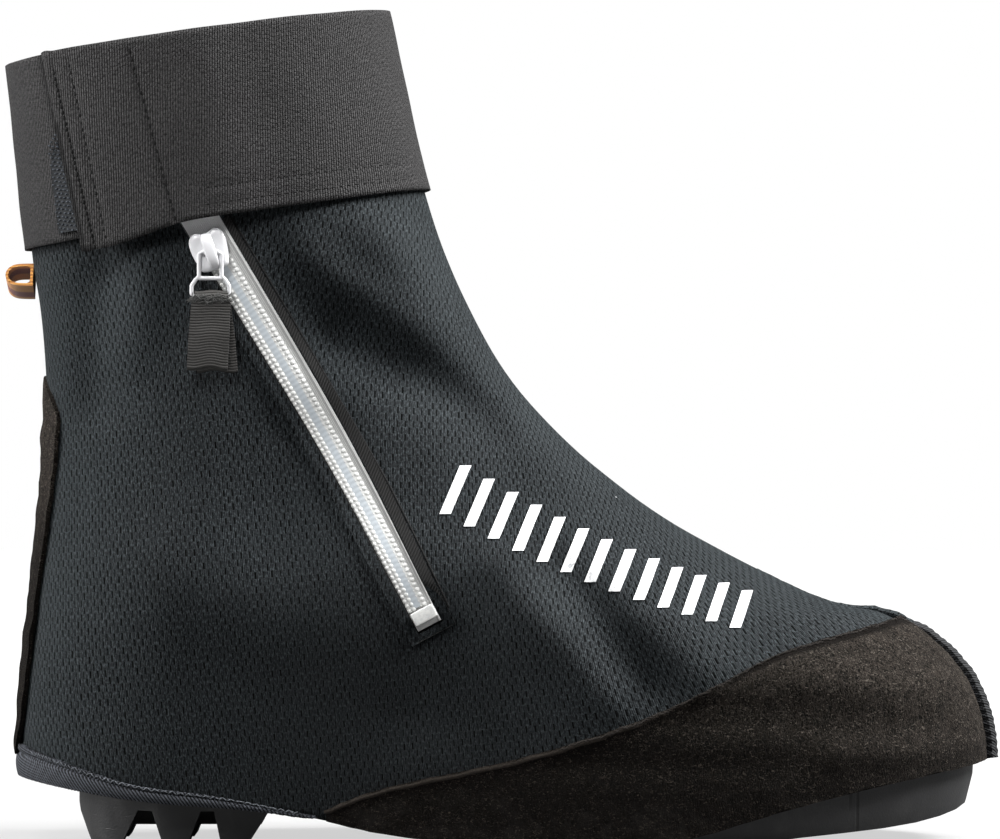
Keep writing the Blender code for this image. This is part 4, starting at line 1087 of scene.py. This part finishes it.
def zipCoords(spots):   # length down the zip and distance across it, towards the toe
    best = np.full(len(spots), 9.0)
    along, across = np.zeros(len(spots)), np.zeros(len(spots))
    for k in range(len(zipLine) - 1):
        run = (zipLine[k + 1] - zipLine[k]) / (zipLengths[k + 1] - zipLengths[k])
        dx, dz = spots[:, 0] - zipLine[k, 0], spots[:, 2] - zipLine[k, 1]
        t = np.clip(dx * run[0] + dz * run[1], 0.0, zipLengths[k + 1] - zipLengths[k])
        away = np.hypot(dx - t * run[0], dz - t * run[1])
        nearer = away < best
        best = np.where(nearer, away, best)
        along = np.where(nearer, zipLengths[k] + t, along)
        across = np.where(nearer, dz * run[0] - dx * run[1], across)
    return along, across


def halfWidth(share):
    return np.interp(share, (0.0, 0.5, 1.0), zipLook["half"])


def seamWidth(share):
    return np.interp(share, *zip(*zipLook["seam"]))


def besideZip(share, offset=0.0):   # x, z of a point beside the zip
    x, z = (float(np.polyval(curve, share)) for curve in zipCurves)
    dx, dz = (float(np.polyval(np.polyder(curve), share)) for curve in zipCurves)
    length = math.hypot(dx, dz)
    return x - dz / length * offset, z + dx / length * offset


tape = copyNode("zip_tape", "zip_tape_cloth", 2)
followFolds(tape)
along, across = zipCoords(readPoints(tape))
setUv(tape, along, across * zipLook["half"][1] / halfWidth(along / zipLengths[-1]))
finishPiece(tape, "zip_cloth", zipCloth, "zip_tape", angle=50)
tapeTree = sideTree(tape)

border = copyNode("zip_facing", "zip_border")
spots = readPoints(border)
along, across = zipCoords(spots)
share = along / zipLengths[-1]
half = halfWidth(share)
inner = (across < 0) & (np.abs(across + half) < 0.0012) & (spots[:, 2] > 0.0735)
outer = (across > half + 0.002)[:, None]
narrower = (zipLook["facing"] - seamWidth(share))[:, None]
moved = spots + np.where(outer, -toFront * narrower, 0.0)   # narrower at the top
atFoot = (share > zipLook["footFrom"])[:, None]
moved += np.where(atFoot, upZip * zipLook["foot"], 0.0)   # closes up to the stop
for k in range(len(spots)):   # stays on the wall as it moves
    old, new = (onSide(plainTree, at[k][0], at[k][2])[0] for at in (spots, moved))
    if old is not None and new is not None:
        moved[k, 1] += new.y - old.y
moved[inner] += toFront * zipLook["lip"]   # its back lip lies over the tape's edge
writePoints(border, moved)
subdivide(border, 3)
followFolds(border)
along, across = zipCoords(readPoints(border))
setUv(border, along, across)
fromEdge = across + halfWidth(along / zipLengths[-1])
border.data.materials.append(facing)
border.data.materials.append(softshell)
flat = border.data.uv_layers.active.data
for face in border.data.polygons:   # knit on the back side, its slits upright
    if np.mean(fromEdge[list(face.vertices)]) < -zipLook["knitFrom"] and face.normal.y < -0.3:
        face.material_index = 1
        for i in face.loop_indices:
            spot = border.data.vertices[border.data.loops[i].vertex_index].co
            flat[i].uv = (spot.x, spot.z)
finishPiece(border, "facing", None, "zip_facing", angle=60)

first, last = zipLook["skip"]
zipMiddle = [besideZip(share) for share in np.linspace(0.0, 1.0, 60)]
sewn = evenSteps([(x, 0, z) for x, z in zipMiddle], zipLook["pitch"])[first:-last]
bedSpots, bedFaces, bedAcross = [], [], []
beadPlaces = [[], []]
for step, (spot, way) in enumerate(sewn):
    share = step / (len(sewn) - 1)
    sideways = Vector((-way.z, 0, way.x))
    rows = [between(row, share) for row in zipLook["rows"]]
    for number, row in enumerate(rows):
        for off, *size in zipLook["beads"][number]:
            at = spot + sideways * (row + off)
            here, out = onSide(tapeTree, at.x, at.z)
            beadPlaces[number].append(standAt(here + out * zipLook["beadRise"], way, out, size))
    for part in (-0.5, -0.25, 0.0, 0.25, 0.5):
        bedAcross.append(part * between(zipLook["bed"], share))
        at = spot + sideways * (bedAcross[-1] + sum(rows) / 2)
        here, out = onSide(tapeTree, at.x, at.z)
        bedSpots.append(here + out * (zipLook["bedRise"][0] - zipLook["bedRise"][1] * part * part))
for number, name in enumerate(("back", "front")):
    nodes = ("zip_chain",) if number == 0 else ()
    stampGrains("zip_beads_" + name, "zip_coil", coil, (1.0, 1.0, 1.0), beadPlaces[number], 10, 8, nodes)

for k in range(0, 5 * (len(sewn) - 1), 5):
    bedFaces += [(k + j, k + j + 1, k + j + 6, k + j + 5) for j in range(4)]
bed = newPiece("zip_core", bedSpots, bedFaces)
setUv(bed, zipCoords(readPoints(bed))[0], np.array(bedAcross))
subdivide(bed, 1)
applyModifier(bed, "SOLIDIFY", thickness=zipLook["bedThick"], offset=0.0)
finishPiece(bed, "zip_coil", coilCore, angle=60)

seamPath = []
for share in np.linspace(0.03, 1.0, 40):
    seamPath.append(besideZip(share, halfWidth(share) + seamWidth(share) + 0.0004))
cords = sewAlong(upperTree, seamPath, zipLook["cordPitch"], 0.0001)
stampGrains("zip_seam", "facing", darkThread, zipLook["cord"], cords)

stop = copyNode("zip_bottom_stop", "zip_stop", 3, 80)
applyModifier(stop, "SMOOTH", factor=0.5, iterations=10)
followFolds(stop)
writePoints(stop, readPoints(stop) - upZip * zipLook["stopDown"])   # down to the end of the zip
finishPiece(stop, "zip_coil", coil, "zip_bottom_stop")


# Slider and pull

sliderLook = {
    "lean": math.radians(18.0), "hinge": (-0.0008, 0.0041), "half": 0.0060, "tall": 0.0066, "base": 0.0010,
    "plate": 0.0014, "steps": ((0.0008, 0.0006), (0.0012, 0.0003)),
    "crownThick": 0.0013, "crownRound": 0.0004,
    "outline": ((0.0, 0.74), (0.20, 0.90), (0.48, 1.0), (0.78, 0.92), (0.97, 0.64), (1.0, 0.26),
                (0.93, -0.20), (0.84, -0.56), (0.78, -0.86), (0.58, -1.0)),
    "crown": (   # y, z and half width along the bridge
        (0.0056, 0.0032, 0.0013), (0.0050, 0.0050, 0.0017), (0.0036, 0.0060, 0.0020), (0.0, 0.0062, 0.0021),
        (-0.0034, 0.0060, 0.0020), (-0.0053, 0.0050, 0.0017), (-0.0064, 0.0034, 0.0013)),
}
hinge = Vector(frame["record"]["behaviour"]["joints"][0]["pos_m"])
_, wallOut = onSide(plainTree, hinge.x, hinge.z)
leanWay = Vector((-math.sin(sliderLook["lean"]), 0, math.cos(sliderLook["lean"])))
sliderUp = (leanWay - wallOut * leanWay.dot(wallOut)).normalized()
sliderPlace = Matrix((sliderUp.cross(wallOut), sliderUp, wallOut)).transposed().to_4x4()
sliderPlace.translation = hinge - sliderUp * sliderLook["hinge"][0] - wallOut * sliderLook["hinge"][1]

halfLine = sliderLook["outline"]
outline = [(-x, y) for x, y in halfLine if x > 0] + [(x, y) for x, y in reversed(halfLine)]
plate = [(x * sliderLook["half"], y * sliderLook["tall"], sliderLook["base"]) for x, y in outline]
body = newPiece("zip_slider_body", plate, [list(range(len(plate)))])
editPiece(body)
bpy.ops.mesh.extrude_region_move(TRANSFORM_OT_translate={"value": (0, 0, sliderLook["plate"])})
for inset, rise in sliderLook["steps"]:
    bpy.ops.mesh.inset(thickness=inset)
    bpy.ops.transform.translate(value=(0, 0, rise))
bpy.ops.mesh.select_all(action="SELECT")
bpy.ops.mesh.normals_make_consistent(inside=False)
objectMode()
crownSpots, crownFaces = [], []
for y, z, half in sliderLook["crown"]:
    low = z - sliderLook["crownRound"]
    crownSpots += [(-half, y, low), (-half * 0.5, y, z), (half * 0.5, y, z), (half, y, low)]
for k in range(0, len(crownSpots) - 4, 4):
    crownFaces += [(k + j, k + j + 4, k + j + 5, k + j + 1) for j in range(3)]
crown = newPiece("zip_crown", crownSpots, crownFaces)
applyModifier(crown, "SOLIDIFY", thickness=sliderLook["crownThick"], offset=-1.0)
joinPieces("zip_slider_body", body, crown)
subdivide(body, 3)
body.data.transform(sliderPlace)
finishPiece(body, "slider_enamel", enamel, "zip_slider", angle=60)

bailLook = {"voxel": 0.00014, "rounds": 6}
bail = copyNode("zip_bail", "zip_bail_wire", 0, 180)
applyModifier(bail, "REMESH", mode="VOXEL", voxel_size=bailLook["voxel"])
applyModifier(bail, "SMOOTH", factor=0.5, iterations=bailLook["rounds"])
finishPiece(bail, "slider_enamel", enamel, "zip_bail", body="zip_pull")

tabLook = {
    "width": 0.0126, "web": 0.0009, "rib": 0.00085, "ribDepth": 0.00015, "ripple": 0.0004, "droop": 0.0004,
    "bulge": 0.0003,
    "plies": (   # top, foot, place out of the wall, turn, sideways at the top, width at the top
        (-0.0146, -0.0362, 0.0017, -0.060, 0.0003, 0.95),
        (-0.0150, -0.0370, -0.0010, 0.075, 0.0004, 0.90),
    ),
    "wire": -0.0142, "bend": (0.0017, 0.0015), "loopWidth": 0.0104, "loopSide": 0.0003,
    "loopEnds": (((-0.0205, -0.0008), (-0.0160, -0.0012)), ((-0.0160, 0.0010), (-0.0205, 0.0007))),
    "fray": 120, "frayAt": (-0.0144, 0.0023), "hair": (0.0022, 0.00040, 0.00040),
}
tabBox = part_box("zip_pull_tab")
pullUp = hinge - (Vector(tabBox[0]) + Vector(tabBox[1])) / 2
pullUp.x = 0.0
pullUp.normalize()
pullRight = Vector((1, 0, 0))
pullPlace = Matrix((pullRight, pullUp, pullRight.cross(pullUp))).transposed().to_4x4()
pullPlace.translation = hinge


def makePly(path, width, turn, side, narrow):   # webbing laid along a path of y, z lengths
    path = [Vector((0, y, z)) for y, z in path]
    steps = evenSteps(path, tabLook["rib"] / 6)
    bpy.ops.mesh.primitive_grid_add(x_subdivisions=14, y_subdivisions=len(steps) - 1, size=1.0)
    ply = bpy.context.object
    spots = readPoints(ply)
    rank = np.round((0.5 - spots[:, 1]) * (len(steps) - 1)).astype(int)
    runs = np.arange(len(steps)) * tabLook["rib"] / 6
    result = np.zeros_like(spots)
    for i, k in enumerate(rank):
        spot, way = steps[k]
        drop = path[0].y - spot.y
        wide = width * (narrow + (1 - narrow) * min(abs(drop) / 0.012, 1.0))
        x = spots[i, 0] * wide + side + turn * drop
        rough = tabLook["ripple"] * noise.noise(Vector((x * 160, spot.y * 160, 3.0 + 9 * turn)))
        rib = tabLook["ribDepth"] * math.sin(2 * math.pi * runs[k] / tabLook["rib"])
        sway = math.cos(2.4 * math.pi * spots[i, 0] + 8 * turn)
        droop = tabLook["droop"] * sway * min(abs(drop) / 0.02, 1.0)
        result[i] = Vector((x, spot.y + droop, spot.z)) + Vector((0, way.z, -way.y)) * (rough + rib)
    setUv(ply, runs[rank], spots[:, 0] * width)
    writePoints(ply, result)
    applyModifier(ply, "SOLIDIFY", thickness=tabLook["web"], offset=0.0)
    return ply


plies = []
for top, foot, out, turn, side, narrow in tabLook["plies"]:
    path = [(top, out), ((top + foot) / 2, out + tabLook["bulge"]), (foot, out)]
    plies.append(makePly(path, tabLook["width"], turn, side, narrow))
before, after = tabLook["loopEnds"]
overWire = list(before)
for angle in np.linspace(0.2, math.pi - 0.2, 9):
    up = tabLook["wire"] + tabLook["bend"][0] * math.sin(angle)
    overWire.append((up, -tabLook["bend"][1] * math.cos(angle)))
plies.append(makePly(overWire + list(after), tabLook["loopWidth"], 0.0, tabLook["loopSide"], 1.0))
tab = joinPieces("zip_webbing", *plies)
tab.data.transform(pullPlace)
finishPiece(tab, "webbing", webbing, "zip_pull_tab", angle=60, body="zip_pull")

frayPlaces = []
for k in range(tabLook["fray"]):
    jitter = noise.noise_vector(Vector((k * 3.7, 1.3, 0.2)))
    other = noise.noise_vector(Vector((k * 2.9, 7.1, 4.4)))
    x = ((k + 0.5) / tabLook["fray"] - 0.5) * tabLook["width"] * 0.98 + 0.0006 * jitter.x
    y = tabLook["frayAt"][0] + 0.0016 * jitter.y + 0.0010 * other.x
    spot = Vector((x, y, tabLook["frayAt"][1] + 0.0003 * jitter.z))
    along = Vector((0.9 * other.y + 0.5, other.z + 0.2, 0.3 * jitter.z))
    size = (1.0 + 0.6 * jitter.z, 1.0, 1.0)
    frayPlaces.append(pullPlace @ standAt(spot, along, Vector((0, 0.2, 1)), size))
stampGrains("webbing_fray", "webbing", frayThread, tabLook["hair"], frayPlaces, 5, 5, body="zip_pull")


# Sole

soleLook = {"bevel": 0.0006, "flat": 2.0, "sharp": 32}
sole = copyNode("outsole", "sole_body", 0, 180)
editPiece(sole)
bpy.ops.mesh.dissolve_limited(angle_limit=math.radians(soleLook["flat"]))
objectMode()
applyModifier(sole, "BEVEL", width=soleLook["bevel"], segments=2, limit_method="ANGLE",
              angle_limit=math.radians(soleLook["sharp"]), use_clamp_overlap=True)
finishPiece(sole, "sole_rubber", rubber, "outsole", angle=35)


# Generic reflective print: a row of slanted bars

printLook = {"count": 13, "x": (-0.0150, 0.0745), "z": (0.1120, 0.0745), "bend": 0.0035, "width": 0.0036,
             "tall": (0.0150, 0.0110), "lean": 0.42, "rise": 0.00015, "thick": 0.0002}
bars = []
for k in range(printLook["count"]):
    share = k / (printLook["count"] - 1)
    x, z, tall = (between(printLook[key], share) for key in ("x", "z", "tall"))
    z -= printLook["bend"] * math.sin(math.pi * share)
    bpy.ops.mesh.primitive_grid_add(x_subdivisions=5, y_subdivisions=12, size=1.0)
    bar = bpy.context.object
    editPiece(bar)
    bpy.ops.transform.resize(value=(printLook["width"], tall, 1.0), center_override=(0, 0, 0))
    objectMode()
    spots = readPoints(bar)
    for i, (right, up, _) in enumerate(spots):
        here, out = onSide(upperTree, x + right + printLook["lean"] * up, z + up)
        spots[i] = here + out * printLook["rise"]
    writePoints(bar, spots)
    bars.append(bar)
prints = joinPieces("reflective_bars", *bars)
applyModifier(prints, "SOLIDIFY", thickness=printLook["thick"], offset=1.0)
finishPiece(prints, "softshell", printFilm, angle=50)


# Floor, light and camera

bpy.ops.mesh.primitive_plane_add(size=1.0)
floor = bpy.context.object
floor.name = "floor"
editPiece(floor, "VERT")
bpy.ops.transform.resize(value=(9.0, 7.0, 1.0), center_override=(0, 0, 0))
objectMode()
floorMaterial, floorPlace, _ = newMaterial("pale_floor", 0.9, Emission_Strength=1.0)
away = addNode("ShaderNodeVectorMath", operation="LENGTH")
plug(away.inputs[0], floorPlace)
glow = ease(away.outputs["Value"], 0.12, 0.8, 0.62, 1.0)
seen = addNode("ShaderNodeLightPath").outputs["Is Camera Ray"]
plug(desk["shader"].inputs["Emission Color"], blend(times(glow, seen), (0, 0, 0), (1, 1, 1)))
plug(desk["shader"].inputs["Base Color"], (0.10, 0.10, 0.10))
floor.data.materials.append(floorMaterial)

world = bpy.data.worlds.new("studio")
world.use_nodes = True
desk["tree"] = world.node_tree
sky = axes(addNode("ShaderNodeTexCoord").outputs["Generated"])[2]
skyGlow = ease(sky, 0.0, 0.9, 0.03, 0.28)   # brightest overhead
seen = addNode("ShaderNodeLightPath").outputs["Is Camera Ray"]
background = world.node_tree.nodes["Background"].inputs
plug(background["Strength"], plus(seen, times(skyGlow, minus(1.0, seen))))
plug(background["Color"], (1.0, 1.0, 1.0))
bpy.context.scene.world = world


def addLight(name, place, target, size, power):
    bpy.ops.object.light_add(type="AREA", location=place)
    lamp = bpy.context.object
    lamp.name = name
    lamp.data.shape = "RECTANGLE"
    lamp.data.size, lamp.data.size_y = size
    lamp.data.energy = power
    lamp.rotation_euler = (Vector(target) - Vector(place)).to_track_quat("-Z", "Y").to_euler()
    return lamp


key = addLight("key", (0.95, -0.08, 1.15), (0, 0, 0.08), (0.8, 0.8), 80.0)
back = addLight("back", (-1.15, -0.06, 0.52), (-0.05, 0, 0.1), (0.5, 1.0), 28.0)
fill = addLight("fill", (-0.28, -0.55, 0.66), (-0.13, -0.04, 0.24), (0.22, 0.22), 0.50)
fill.data.spread = math.radians(56)
bpy.ops.object.camera_add(location=(-0.0010, -1.6, 0.134), rotation=(math.pi / 2, 0, 0))
camera = bpy.context.object
camera.data.lens, camera.data.sensor_width = 180.0, 36.0
camera.data.clip_start = 0.05
bpy.context.scene.camera = camera
bpy.context.scene.view_settings.view_transform = "Standard"
print("stage set")
